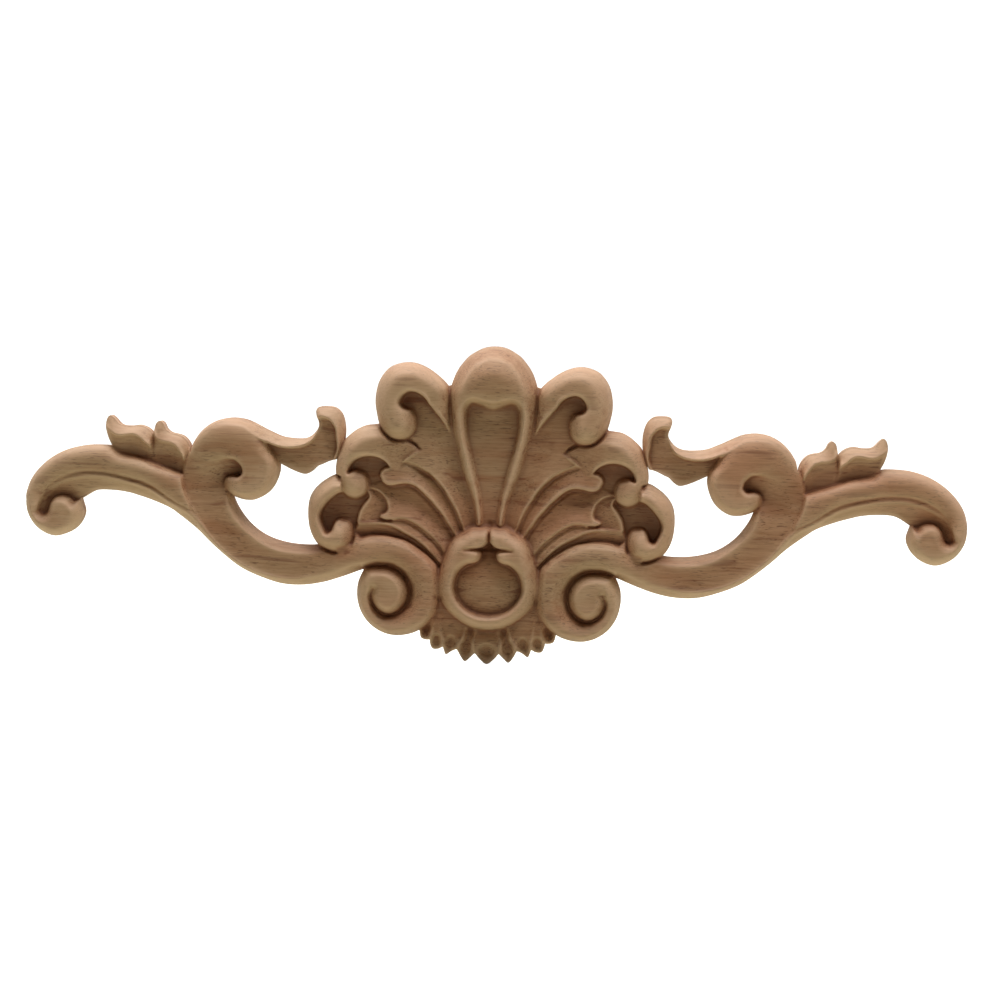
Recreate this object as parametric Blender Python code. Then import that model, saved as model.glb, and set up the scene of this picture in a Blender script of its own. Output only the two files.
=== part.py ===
"""A floral applique carved from one board: a shell with a middle petal, curls, lobes and flutes above a ringed
cartouche, two lower volutes, and two scrolled arms with leaves. It is 450 mm wide.

The front faces -Y, the flat back lies on y = 0, and the origin is the centre of the back.
The heights of the carved front are worked out on a grid from smooth lines, then meshed and thinned.
"""
import math

import bpy
import bmesh
import numpy as np

WIDTH = 450.0        # overall width, mm
TRIANGLES = 9200     # size of the finished mesh
CELL = 0.75          # spacing of the grid, mm
ROUNDING = 0.5       # rounding of crests and creases, mm
MM = 0.001

# Everything below is in millimetres: x out from the middle, z up, and the height forward from the flat back.
# The right half is drawn, and the left half is its mirror image.

EDGE = 6.5          # thickness at the outline
FLOOR = 6.5         # deepest hollows of the shell
WING_CREST = 11.5   # crests of the outer arms and leaves
SCROLL_TOP = 14.5   # C-shaped scrolls
VOLUTE_TOP = 16.0   # lower volutes
LOBE_TOP = 17.0     # rolled rims and balls of the shell
PETAL_TOP = 20.0    # dome of the middle petal
RING_TOP = 19.0     # ring of the cartouche
DISC_TOP = 13.0     # plain field inside the ring
WALL = 0.7          # width of the wall at a step


def rail(points, heights, closed=False, step=1.0):
    """A smooth line through the points: rows of x, z, height, share of its length. There is one height for each
    point, or else they are spread evenly along the line."""
    p = np.array(points, float)
    ends = [p[-1:], p, p[:2]] if closed else [2 * p[:1] - p[1:2], p, 2 * p[-1:] - p[-2:-1]]
    q = np.concatenate(ends)
    rows, stops = [], []
    for a, b, c, d in zip(q[:-3], q[1:-2], q[2:-1], q[3:]):
        stops.append(len(rows))
        k = [0.0]
        for m, n in ((a, b), (b, c), (c, d)):
            k.append(k[-1] + max(math.hypot(*(n - m)), 1e-6) ** 0.5)
        for t in np.linspace(k[1], k[2], max(2, math.ceil(math.hypot(*(c - b)) / step)), endpoint=False):
            ab = (a * (k[1] - t) + b * (t - k[0])) / (k[1] - k[0])
            bc = (b * (k[2] - t) + c * (t - k[1])) / (k[2] - k[1])
            cd = (c * (k[3] - t) + d * (t - k[2])) / (k[3] - k[2])
            abc = (ab * (k[2] - t) + bc * (t - k[0])) / (k[2] - k[0])
            bcd = (bc * (k[3] - t) + cd * (t - k[1])) / (k[3] - k[1])
            rows.append((abc * (k[2] - t) + bcd * (t - k[1])) / (k[2] - k[1]))
    stops.append(len(rows))
    rows.append(p[0] if closed else p[-1])
    line = np.array(rows)
    share = np.concatenate([[0.0], np.cumsum(np.hypot(*np.diff(line, axis=0).T))])
    share /= share[-1]
    if len(np.atleast_1d(heights)) == len(stops):
        return np.column_stack([line, np.interp(share, share[stops], heights), share])
    return np.column_stack([line, spread(heights, share), share])


def spread(values, share):
    """Values spread evenly over 0 to 1, read at each share."""
    values = np.atleast_1d(np.asarray(values, float))
    return np.interp(share, np.linspace(0, 1, len(values)), values) if len(values) > 1 else values[0] + 0 * share


def near(line, x, z):
    """For each place: its distance to the line, the line's height there, and the share along it."""
    best = np.full(x.shape, 1e9)
    height, share = np.zeros(x.shape), np.zeros(x.shape)
    for (ax, az, ah, au), (bx, bz, bh, bu) in zip(line[:-1], line[1:]):
        ux, uz = bx - ax, bz - az
        s = np.clip(((x - ax) * ux + (z - az) * uz) / max(ux * ux + uz * uz, 1e-9), 0, 1)
        d = (x - ax - s * ux) ** 2 + (z - az - s * uz) ** 2
        closer = d < best
        best = np.where(closer, d, best)
        height = np.where(closer, ah + s * (bh - ah), height)
        share = np.where(closer, au + s * (bu - au), share)
    return np.sqrt(best), height, share


def inside(outline, x, z):
    odd = np.zeros(x.shape, bool)
    for (ax, az), (bx, bz) in zip(outline, np.roll(outline, -1, axis=0)):
        if az != bz:
            odd ^= ((az > z) != (bz > z)) & (x < ax + (z - az) * (bx - ax) / (bz - az))
    return odd


def quarter(t):
    """A quarter circle from 0 to 1 that starts steep, not upright."""
    def circle(u):
        return np.sqrt(1 - (1 - u) ** 2)
    start = 0.12
    return (circle(start + (1 - start) * np.clip(t, 0, 1)) - circle(start)) / (1 - circle(start))


def curve(value, points):
    """Reads a smooth curve through points whose first numbers rise."""
    line = rail(points, 0, step=0.5)
    return np.interp(value, line[:, 0], line[:, 1])


def ease(t):
    t = np.clip(t, 0, 1)
    return t * t * (3 - 2 * t)


def band(a, b, bulge=0.0, power=1.0, tube=0.0, lean=0.5):
    """A strip from line a to line b, lifted between them by a flat arch and by a round tube. Both may vary along b,
    and lean is the share of the way to b where they are highest."""
    def shape(x, z):
        da, ha, _ = near(a, x, z)
        db, hb, share = near(b, x, z)
        t = da / np.maximum(da + db, 1e-6)
        leant = t ** (math.log(0.5) / math.log(lean))
        arch = 4 * leant * (1 - leant)
        return ha + (hb - ha) * t ** power + spread(bulge, share) * arch + spread(tube, share) * np.sqrt(arch)
    return shape


def rise(line, top, reach):
    """An even slope up from the line to the top within its reach."""
    def shape(x, z):
        d, h, _ = near(line, x, z)
        return h + (top - h) * np.clip(d / reach, 0, 1)
    return shape


def roll(line, top, reach):
    """A rounded edge that rises from the line's height to the top within its reach."""
    def shape(x, z):
        d, h, share = near(line, x, z)
        return h + (spread(top, share) - h) * quarter(d / spread(reach, share))
    return shape


def lowest(*shapes):
    return lambda x, z: np.minimum.reduce([shape(x, z) for shape in shapes])


def flat(h):
    return lambda x, z: h + 0 * x


def blurred(a, sigma):
    n = max(1, math.ceil(2.5 * sigma))
    weights = np.exp(-0.5 * (np.arange(-n, n + 1) / max(sigma, 0.3)) ** 2)
    weights /= weights.sum()
    for axis in (0, 1):
        padded = np.pad(a, [(n, n) if k == axis else (0, 0) for k in (0, 1)])
        size = a.shape[axis]
        a = sum(w * np.take(padded, range(k, k + size), axis) for k, w in enumerate(weights))
    return a


def around(*lines):
    """The closed outline made by lines end to end."""
    return np.concatenate([np.asarray(line, float)[:, :2] for line in lines])


class Relief:
    """Heights over a square grid, and how far inside the outline each place is."""

    def __init__(self, cell, x_end=228.0, z_low=-79.0, z_high=79.0):
        self.cell = cell
        self.xs = np.arange(-round(10 / cell) * cell, x_end, cell)
        self.zs = np.arange(z_low, z_high, cell)
        self.x, self.z = np.meshgrid(self.xs, self.zs, indexing="ij")
        self.height = np.full(self.x.shape, FLOOR)
        self.depth_in = np.full(self.x.shape, -50.0)

    def window(self, outline, margin):
        low, high = outline.min(axis=0) - margin, outline.max(axis=0) + margin
        i = np.searchsorted(self.xs, (low[0], high[0]))
        j = np.searchsorted(self.zs, (low[1], high[1]))
        return slice(*i), slice(*j)

    def body(self, outline):
        """Adds an outline to the silhouette."""
        w = self.window(outline, 4.0)
        x, z = self.x[w], self.z[w]
        loop = np.column_stack([outline, 0 * outline])
        d = near(np.concatenate([loop, loop[:1]]), x, z)[0]
        d = np.where(inside(outline, x, z), d, -d)
        self.depth_in[w] = np.maximum(self.depth_in[w], d)

    def carve(self, outline, shape, keep=None, cover=None):
        """Sets the heights inside an outline. keep is np.maximum or np.minimum to keep the higher or lower, and
        cover says how far the new surface covers the old one at each place."""
        w = self.window(outline, max(self.cell, WALL))
        x, z = self.x[w], self.z[w]
        new = shape(x, z)
        if keep is not None:
            new = keep(new, self.height[w])
        # Outside the outline the new surface fades out, so that each step is a steep wall without stairs.
        share = np.clip(1 - self.outside(outline, x, z) / max(self.cell, WALL), 0, 1)
        if cover is not None:
            share = share * cover(x, z)
        self.height[w] += (new - self.height[w]) * share

    def calm(self, outline, radius, margin):
        """Evens out the surface inside an outline, from the margin inwards."""
        w = self.window(outline, 0)
        x, z = self.x[w], self.z[w]
        loop = np.column_stack([outline, 0 * outline])
        depth = near(np.concatenate([loop, loop[:1]]), x, z)[0] * inside(outline, x, z)
        mask = (depth > 0).astype(float)
        total, weight = blurred(self.height[w] * mask, radius / self.cell), blurred(mask, radius / self.cell)
        new = total / np.maximum(weight, 1e-6)
        self.height[w] += (new - self.height[w]) * ease(depth / margin)

    def outside(self, outline, x, z):
        loop = np.column_stack([outline, 0 * outline])
        d = near(np.concatenate([loop, loop[:1]]), x, z)[0]
        return np.where(inside(outline, x, z), 0, d)

    def ridge(self, line, lift, width):
        """Raises a rounded ridge along a line."""
        w = self.window(line[:, :2], 3 * width)
        d = near(line, self.x[w], self.z[w])[0]
        self.height[w] += lift * np.exp(-(d / width) ** 2)


def carve_wing(r):
    # Outer arm: two rolls side by side that end in a ball.
    arm_low = rail([(150, -9.5), (155, -6.1), (165, -2.1), (174.5, 0.7), (183.5, 1.8), (192, 1.3), (199.7, -3.0)],
                   EDGE)
    arm_top = rail([(149.3, 10.3), (160, 13.7), (170, 17.2), (180, 19.4), (184.7, 22.9), (190, 23.4), (200, 22.6),
                    (210, 19.1), (218.7, 12.6), (224.3, 4.7), (226.1, -3.8), (224.9, -11.2), (219.8, -18)],
                   [9.5, 9, 8.5, EDGE, EDGE, EDGE, EDGE, EDGE, EDGE, EDGE])
    ball_low = rail([(226.1, -3.8), (224.9, -11.2), (219.8, -18), (211.3, -21.3), (202.2, -17.4), (198.1, -10),
                     (199.7, -3.1)], EDGE)
    ball_top = rail([(199.7, -3.1), (202.6, -4.4), (205, -2.7), (208.2, -1.9), (211.5, -2.5), (213.8, -4.7),
                     (215, -7.5), (216.2, -10.4), (218.5, -11.3), (220.6, -9.8)], [EDGE, 7, 8, 8, 7.5, 7, 6, 8, 9.5])
    crease = rail([(144.7, -7), (153.5, -2.4), (165, 4.7), (180, 8.9), (190, 10.2), (200, 9.7), (210, 6.1),
                   (215, 2.1), (218.6, -3), (220.3, -7.5), (220.6, -9.8)],
                  [11.8, 12, 11.8, 11.6, 11.4, 11, 10.2, 9.2, 8.5])
    cove_low = rail([(150, -9.5), (155, -6.1), (165, -2.1), (174.5, 0.7), (183.5, 1.8), (192, 1.3), (199.7, -3.0),
                     (202.6, -4.4), (205, -2.7), (208.2, -1.9), (211.5, -2.5), (213.8, -4.7), (215, -7.5),
                     (216.2, -10.4), (218.5, -11.3), (220.6, -9.8)],
                    [EDGE, EDGE, EDGE, EDGE, EDGE, EDGE, EDGE, EDGE, 5.5, 4.5, 4, 3.5, 3.5, 4.5])
    r.body(around(arm_top[:-1], [(214, -16)], [(205, -8)], arm_low[::-1], [(130, -10), (130, 8)]))
    r.body(around(ball_low, [(203, 0), (212, 4), (222, 2)]))
    r.carve(np.array([(132, -20), (150, -8), (156, -4), (152, 6), (140, 4)]), flat(10.8))
    upper = band(arm_top, crease, [2.2, 2.8, 3.0, 3.0, 3.0, 3.0, 3.2, 3.2], 1.0, 0.0, 0.36)
    r.carve(around(arm_top, crease[::-1]), upper)
    cove = around(crease, cove_low[::-1])
    r.carve(cove, band(crease, cove_low, [0.5, 0.5, 0.5, 0.3, 0, -0.5, 0.0], 1.1))
    r.calm(cove[cove[:, 0] > 184], 1.4, 2.5)
    edges = np.concatenate([ball_low, ball_top])
    ball = roll(edges, 12.3, 4.6)
    r.carve(edges[:, :2], ball)
    r.ridge(rail([(202.9, -9), (203.9, -6.9), (206.2, -5.1), (209.3, -4.2), (212, -5.1), (213.3, -6.9)], 0), 0.35, 0.8)
    # The upper roll runs round the end and flows into the face of the ball.
    joint = around(arm_top[-26:-8], [(219, -16), (216, -13.5), (218.6, -11.4)], crease[-26:][::-1])
    r.carve(joint, ball, cover=lambda x, z: ease((3 - z) / 14))


def carve_small_leaf(r, silhouette, crest, foot, dish_low):
    """A pointed leaf: a bright bevel from its outline up to the crest, then a dish that falls to the foot."""
    r.body(around(silhouette, foot[::-1] + [0, -3, 0, 0]))
    r.carve(around(silhouette, foot[::-1]), band(crest, foot, dish_low, 0.8))
    r.calm(around(crest, foot[::-1]), 2.0, 0.8)
    r.carve(around(silhouette, crest[::-1]), band(silhouette, crest, 0.4))


def carve_leaves(r):
    # The outer leaf starts behind the inner one.
    carve_small_leaf(
        r,
        rail([(161, 14), (161.5, 24), (164.9, 30), (167.7, 32.4), (171.5, 33.6), (175.6, 33.1), (180.4, 33.6),
              (184.1, 37.1), (185.6, 38), (186.8, 36.9), (187.6, 33.4), (186.4, 27.5), (184.3, 23.1)], EDGE),
        rail([(162.5, 14), (162.8, 19), (164.9, 23.8), (167.7, 25.8), (170, 27.9), (172.8, 29.3), (175.6, 29.3),
              (179, 28.6), (181.8, 28.8), (184.7, 30.5), (187.0, 32.4)],
             [10, 10.5, WING_CREST, WING_CREST, WING_CREST, 10.5, 9]),
        rail([(163, 14), (170, 17.2), (175, 18.6), (180, 19.4), (184.3, 22.6)], [7, 7, 7, 7.5]),
        [-2.5, -3, -3, -2])
    carve_small_leaf(
        r,
        rail([(146.2, 12), (146.2, 23.7), (150, 28.8), (156.3, 30.6), (158.3, 32.2), (159.8, 35), (161.4, 36),
              (162.9, 35), (163.9, 31.5), (164.4, 25), (164.2, 20), (163, 15)], EDGE),
        rail([(147.4, 10), (148.4, 18.3), (150.4, 21.7), (152.9, 24.8), (156.3, 26.1), (159.7, 26.5), (162.6, 28.2),
              (163.9, 30.5)], [WING_CREST, WING_CREST, WING_CREST, 10.5, 9]),
        rail([(148.5, 10), (155, 12), (160, 13.7), (163, 15)], 7.5),
        [-2.5, -3, -3, -2])


FLAG_TOP = [(84.9, 40.4), (83.8, 37.5), (83.8, 35.6), (85, 33.5), (87.1, 31.3), (90.2, 29.8), (94, 29.4),
            (98.4, 29.6), (102.2, 30.2), (106.7, 32), (110.5, 33.7), (114.9, 35.9)]
FLAG_CREST = [(84.9, 40.4), (83.7, 37.5), (83.8, 35.2), (84.5, 32.9), (85.8, 30.3), (87.7, 28.1),
              (90.9, 26.3), (95, 25.4), (100, 25.3), (104.5, 26.1), (110.5, 28.6), (114.9, 30.9)]


def carve_flag(r):
    # Flag-shaped leaf that reaches from the C-shaped scroll to the shell.
    far = rail([(75, 20.1), (72.2, 27), (71.5, 31.5), (71.7, 37), (73.3, 42), (76.3, 44.8), (80, 45.4), (84.3, 44.9),
                (85.4, 43.1), (84.9, 40.4)], [9, 8.5, 7.5, EDGE, EDGE, EDGE, EDGE, EDGE, EDGE, EDGE, 7.5])
    far_crest = rail([(76, 19.9), (74.3, 25), (74.9, 31), (75.6, 35.5), (77.5, 38.3), (79.7, 39.9), (82.3, 40.4),
                      (84.9, 40.4)], [10, WING_CREST, WING_CREST, WING_CREST, 11, 10])
    top = rail(FLAG_TOP, EDGE)
    top_crest = rail(FLAG_CREST, [8, 9, WING_CREST, WING_CREST, 12, 12.5, 13, 13])
    low = rail([(76, 19.9), (78.8, 19), (82.8, 17.1), (84.5, 16.4), (87, 14), (89.4, 12.6), (92, 12.9), (96.5, 14.6),
                (102.7, 17.6), (106, 19)], [7.5, 8, 8, 7, 7, 8, 8, 8])
    r.body(around(far, top[1:], [(120, 25), (110, 15)], low[::-1]))
    dish = around(far_crest, top_crest[1:], low[::-1])
    r.carve(dish, lowest(band(top_crest, low, -2.2, 0.9), band(far_crest, low, -2.2, 0.9)))
    r.calm(dish, 2.2, 1.0)
    r.carve(around(far, far_crest[::-1]), band(far, far_crest, 0.5))


def carve_flag_top(r):
    # Bright upper bevel of the flag, which fades out on the scroll.
    silhouette = rail(FLAG_TOP + [(119.3, 37.7), (124, 38.4)], EDGE)
    crest = rail(FLAG_CREST + [(120, 33.6), (124.5, 35.2)], [8, 9, WING_CREST, WING_CREST, 12, 12.5, 13, 13, 13.5])
    r.carve(around(silhouette, crest[::-1]), band(silhouette, crest, 0.5), cover=lambda x, z: 1 - ease((x - 109) / 12))


def carve_scroll(r):
    # C-shaped scroll with its deep eye, and the arm that runs from it to the lower volute.
    disc = rail([(118, 32.5), (112.5, 30.2), (109.4, 27.8), (106.8, 23.5), (104, 20), (102.8, 16), (103.8, 10.1),
                 (107.3, 3.8), (113.6, -0.4), (118.1, -0.8), (122, 0), (125.6, 1.6), (128, 4.2), (128.9, 6.8),
                 (128.2, 9.5)],
                [13, 12, 10.5, 9, 8, EDGE, EDGE, EDGE, EDGE, EDGE, EDGE, 7, 9, 10, 11])
    face_in = rail([(119.9, 12.8), (121.3, 11.2), (125.7, 10.9), (128.2, 9.9), (129.2, 6.8), (128.5, 3.5),
                    (127.4, 0), (126.3, -3.8), (124.4, -8.3), (118.7, -14.6), (110.5, -20.9), (105.4, -23.5),
                    (100, -25), (92, -25.7), (85, -25.4), (77, -23.5), (68, -19.5), (62, -17.5)],
                   [3.5, 3.5, 3.5, 5, 6.5, 8.5, 10.5, 11.5, 12, 12, 12, 12, 12, 12, 12, 12.5, 12.5, 12.5])
    face_out = rail([(111, 34), (114.9, 35.9), (119.3, 37.7), (125, 38.5), (130, 38), (134.5, 36.4), (138.3, 33.9),
                     (141.5, 30.7), (145.3, 24.5), (147.2, 20.2), (148.5, 15.8), (148.8, 8), (147.8, 3.1),
                     (145.8, -2), (140.2, -11.4), (133.9, -19.7), (125, -27.9), (114.9, -33.6), (104.8, -36.8),
                     (94, -37.7), (85, -35.9), (75, -33.7), (65, -29.3), (60, -27.6), (54, -26.6)],
                    [EDGE] * 9 + [7, 8, 9.5, 10.5, 11.2] + [11.5] * 6 + [12, 12.5, 13.5, 14.5, 15])
    inner = rail([(125.6, 1.6), (124.5, -1.5), (122.2, -5.7), (116.8, -12.4), (109.2, -17.8), (100, -20.9),
                  (90, -21.9), (82.6, -21.3), (75, -18), (66, -14)], EDGE)
    low = rail([(174.5, 0.7), (165, -2.1), (155, -6.1), (150, -9.5), (145, -13.2), (140.9, -16.5), (135.8, -21.3),
                (130, -26.3), (120, -33.6), (109.8, -38), (100, -40.7), (90, -41), (80, -39.3), (70, -36),
                (60.3, -32.2), (54, -30.2)], [EDGE] * 15 + [7.5])
    low_crest = rail([(172, 6.9), (165, 4.7), (159, 1.7), (153.5, -2.4), (144.7, -7), (140.2, -11.4), (133.9, -19.7),
                      (125, -27.9), (114.9, -33.6), (104.8, -36.8), (94, -37.7), (85, -35.9), (75, -33.7),
                      (65, -29.3), (60, -27.6), (54, -26.6)],
                     [11.7, 11.8, 12, 12, 11.8, 11.6, 11.5, 11.5, 11.5, 11.5, 11.5, 12, 12.5, 13.5, 14.5, 15])
    r.body(around(disc, [(130, 8), (130, 20), (124, 30)]))
    r.body(np.array([(125.2, 2.0), (126.2, 1.2), (127.2, -1.5), (133, 0), (134, 12), (126, 12), (122, 7)]))
    r.body(around(inner, [(60, -25)], low[::-1], [(150, 0)], face_out[:44][::-1], [(116, 20), (130, 8)]))
    # From the scroll's tube the face flattens into the arm and then swells into the volute.
    swell = [8.5, 8.5, 8.5, 8.5, 7.5, 5, 2, 0, 0, 0, 0, 0, 0, 0, 0, 0, 0, 0, 0, 0]
    sag = [0, 0, 0, 0, 0, 0, -0.6, -1.4, -1.6, -1.6, -1.6, -1.6, -1.6, -1.6, -1.5, -1, 0, 1.5, 3, 3]
    limb = around(face_out, face_in[::-1])
    funnel = band(face_in, face_out, sag, 1.0, swell, 0.66)
    r.carve(limb, funnel)
    r.calm(limb, 2.6, 3.2)
    r.calm(limb, 1.6, 1.2)
    eye_edge = rail([(128.2, 9.5), (125.7, 10.4), (121.6, 10.4), (119.9, 12.5), (120.5, 15.6), (122.8, 18.3),
                     (124.4, 19.2)], [10.5, 11.5, 12, 12, 11.5, 12, 13])
    top = rail([(124.4, 19.2), (131, 20.5), (139, 25), (139, 32), (130, 38), (119.3, 37.7), (113, 35), (111, 34),
                (112.5, 30.2)], EDGE)
    face = lowest(roll(disc, SCROLL_TOP - 0.5, [9, 8, 5, 4.5, 4.5, 4.5, 4.5, 4, 3]), roll(eye_edge, SCROLL_TOP - 0.5, 2.2),
                  roll(face_out, SCROLL_TOP, 9.0))
    # Over the eye the face of the disc runs out into the limb.
    r.carve(around(disc, eye_edge, top), face, cover=lambda x, z: 1 - ease((x - 120) / 17))
    r.calm(around([(113, 31.5), (115.5, 34), (120, 36.4), (128, 36.9), (135, 34.6), (140, 30.5), (143.5, 24.3),
                   (141, 19.5), (133, 17), (127, 18), (121, 20.5), (116, 24)]), 2.0, 2.5)
    crest = face_in[int(np.argmin(np.hypot(face_in[:, 0] - 128.0, face_in[:, 1] - 2.5))):]
    r.carve(around(inner, crest[::-1]), band(inner, crest, 0.5))
    r.carve(around(low_crest, low[::-1]), band(low_crest, low, [0.5, 0.5, 0.4, 0.3, 0.3, 0.3, 0.4, 0.8, 1.0], 1.1))


def carve_volute(r):
    # Lower volute: a rolled band that winds round a boss.
    top = rail([(62, -17.5), (58, -16.3), (53.7, -15.8), (49.6, -15.8), (45.5, -16.5), (41.3, -17.5),
                (37.2, -19.2), (33.1, -21.6), (30, -23.5), (27, -26), (24.5, -28.7), (23.6, -33), (23.7, -40),
                (24.3, -48), (26.3, -54), (29, -58), (32.5, -60.6), (37, -62.7), (43, -63.8), (48, -63.4),
                (53, -61.5), (58, -57.7), (61.5, -52.5), (63.1, -47.5), (63.5, -43), (63.0, -38.5), (61.7, -35),
                (60.3, -32.2)],
               [12] * 6 + [11, 10, 9.5, 9, 8.5, 10.5, 12.8, 13, 11, 8.5, 7] + [EDGE] * 11)
    groove = rail([(60.6, -31.6), (56.5, -30.3), (52.5, -29.9), (47.5, -30.4), (43.5, -32.2),
                   (40.5, -35), (38.5, -38.5), (37.8, -42), (38.3, -46), (40, -49.5), (42.5, -52), (46, -53.8),
                   (49.5, -53.8), (52.5, -52.4), (54.8, -50), (56.1, -47), (56.3, -44), (55.2, -41.3)],
                  [7.5, 7.5, 7, 7, 7, 7, 7, 7, 7.5, 9, 13])
    mouth = rail([(55.2, -41.3), (58, -41), (60.2, -38), (60.6, -35), (60.3, -32.2)], 14)
    r.body(around(top, [(70, -30)]))
    rim = roll(top, VOLUTE_TOP, 6.0)
    r.carve(around(top, groove[::-1]), lowest(rim, roll(groove, VOLUTE_TOP, [4, 7, 8.5, 8.5, 8.5, 8.5, 8.5, 7, 5, 4])))
    r.carve(around(groove, mouth), lowest(rim, roll(groove, VOLUTE_TOP + 0.5, 6.5)), np.maximum)
    r.calm(around([(64, -19), (58, -17.6), (48, -17), (38, -20.5), (30, -25.5), (26, -31), (25, -40), (26, -50),
                   (30, -57), (38, -61), (47, -62), (54, -58.8), (59.5, -53), (61.6, -46), (61.6, -40), (59.6, -36),
                   (57.5, -39), (57, -45), (55, -51.5), (50, -55), (44, -54.5), (38, -50), (36, -44), (36.5, -38),
                   (40, -32.5), (46, -29), (54, -28.4), (66, -31.5), (74, -34.5), (74, -21)]), 1.8, 1.6)


def carve_petal(r):
    # Middle petal: a dome above a heart-topped hollow between two ribs.
    side = rail([(-8, 75), (0, 76.4), (5, 75.7), (9.9, 73.2), (12.4, 71.4), (15.3, 68.1), (17.8, 64.4), (19.4, 60.6),
                 (20.4, 57.3), (20.9, 54), (20.7, 50), (20.2, 45), (19.4, 38.7), (18.2, 32.5), (15.3, 21.6),
                 (13.6, 15.2), (11.2, 9), (9.5, 4.4), (8.3, 0), (7.4, -5.1), (7, -12)],
                [EDGE] * 7 + [6.8, 7.2] + [8.5] * 12)
    heart = rail([(-4, 50.2), (-2, 49.5), (0, 49.2), (2.5, 49.6), (5, 50.3), (8, 51.0), (10.6, 50.8), (12.8, 49.2),
                  (14.2, 45.8), (14.4, 41), (13.8, 35), (12.2, 28), (10, 20.5), (7.9, 13.1), (6, 6.1), (5, 0),
                  (4.3, -6), (4, -12)], 15)
    region = around(side, [(-4, -14), (-12, 60)])

    def dome(x, z):
        d, h, _ = near(side, x, z)
        top = curve(z, [(-14, 12.6), (-5, 12.8), (10, 13.4), (25, 14.4), (38, 15.2), (48, 15.6), (53, 16.6),
                        (58, 18.2), (63, 19.6), (68, PETAL_TOP), (78, PETAL_TOP)])
        reach = curve(z, [(-14, 2.6), (5, 2.9), (20, 3.6), (38, 5.0), (48, 6.4), (56, 9), (64, 12.5), (78, 14)])
        t = np.clip(d / reach, 0, 1)
        soft = np.sin(0.5 * math.pi * t)
        return h + (top - h) * (soft + (quarter(t) - soft) * ease((z - 38) / 12))

    def bowl(x, z):
        d = near(heart, x, z)[0]
        lobe = ease(np.abs(x) / 9)
        floor = curve(z - 4.5 * lobe, [(-20, 9.2), (-5, 9.2), (10, 9.2), (25, 9.0), (35, 8.5), (41, 8.2),
                                       (44.5, 9.4), (48, 12.2), (51, 14.2), (54, 15.2), (58, 16)])
        t = np.clip(d / curve(z, [(-20, 1.5), (0, 1.6), (20, 2.0), (35, 2.8), (44, 3.8), (49, 4.8), (56, 5.0)]), 0, 1)
        return floor + (dome(x, z) - 1.0 - floor) * (1 - ease(t)) * (1 - 0.25 * (1 - lobe))
    r.body(region)
    r.carve(region, dome)
    r.calm(around([(-3, 72), (3, 72), (9, 69), (13, 64), (15.5, 58), (16, 50), (15, 52), (10, 52.5), (5, 52), (-3, 51)]),
           2.5, 3.0)
    field = around(heart, [(-6, -14), (-6, 50)])
    r.carve(field, bowl, np.minimum)
    r.calm(around([(-2.4, 46.5), (5, 47.5), (10, 48.5), (12.2, 46), (12.6, 41), (11.6, 33), (8.4, 22), (5, 10), (2.4, 0),
                   (1, -12), (-2.4, -12)]), 2.0, 1.5)


def carve_curl(r):
    # Upper curl: a stem beside the petal that curls over into a ball.
    outer = rail([(20.3, 35.4), (20.9, 46), (21.3, 55.1), (24.8, 59.6), (28.1, 62.3), (31.4, 64.6), (35.1, 66.4),
                  (38.9, 67.5), (42.6, 67.7), (46.3, 66.9), (50, 65.2), (52.7, 62.5), (54.8, 59.2), (56, 55.7),
                  (56.7, 51.5), (56.7, 47.4), (56, 43.3), (54.4, 37.5), (52.3, 33.8), (48.8, 30.9), (45.1, 30.1),
                  (41.3, 30.7), (38.4, 32.7), (36.8, 35.4), (36.2, 38.7), (36.6, 42), (38, 44.3)],
                 [8.5, 8, EDGE, EDGE, EDGE, EDGE, EDGE, EDGE, 7, 9, 9, 8, 8])
    inner = rail([(38, 44.3), (41.3, 45.1), (43.6, 46.2), (44.8, 48.4), (44.1, 51), (42.2, 53.2), (39.7, 54.2),
                  (37.2, 54), (34.7, 53), (32.2, 51.1), (30.2, 48.4), (27.7, 45.3), (24.8, 42), (22.3, 38.7),
                  (20.3, 35.4)], [12, 13.5, 14.5, 15, 15, 15, 15, 14.5, 13.5, 12, 9])
    region = around(outer, inner)
    r.body(region)
    r.carve(region, lowest(roll(outer, [13, 14, 15.5, LOBE_TOP, LOBE_TOP, LOBE_TOP, 17.5, 17.5, 17.5], [5, 5, 6, 8, 8, 8, 8]),
                           roll(inner, [17.5, 17.5, LOBE_TOP, LOBE_TOP, 16.5, 16, 15, 13], [4, 3, 2.5, 2.5, 2.5, 2.5])))
    r.calm(region, 1.6, 2.4)


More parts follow.
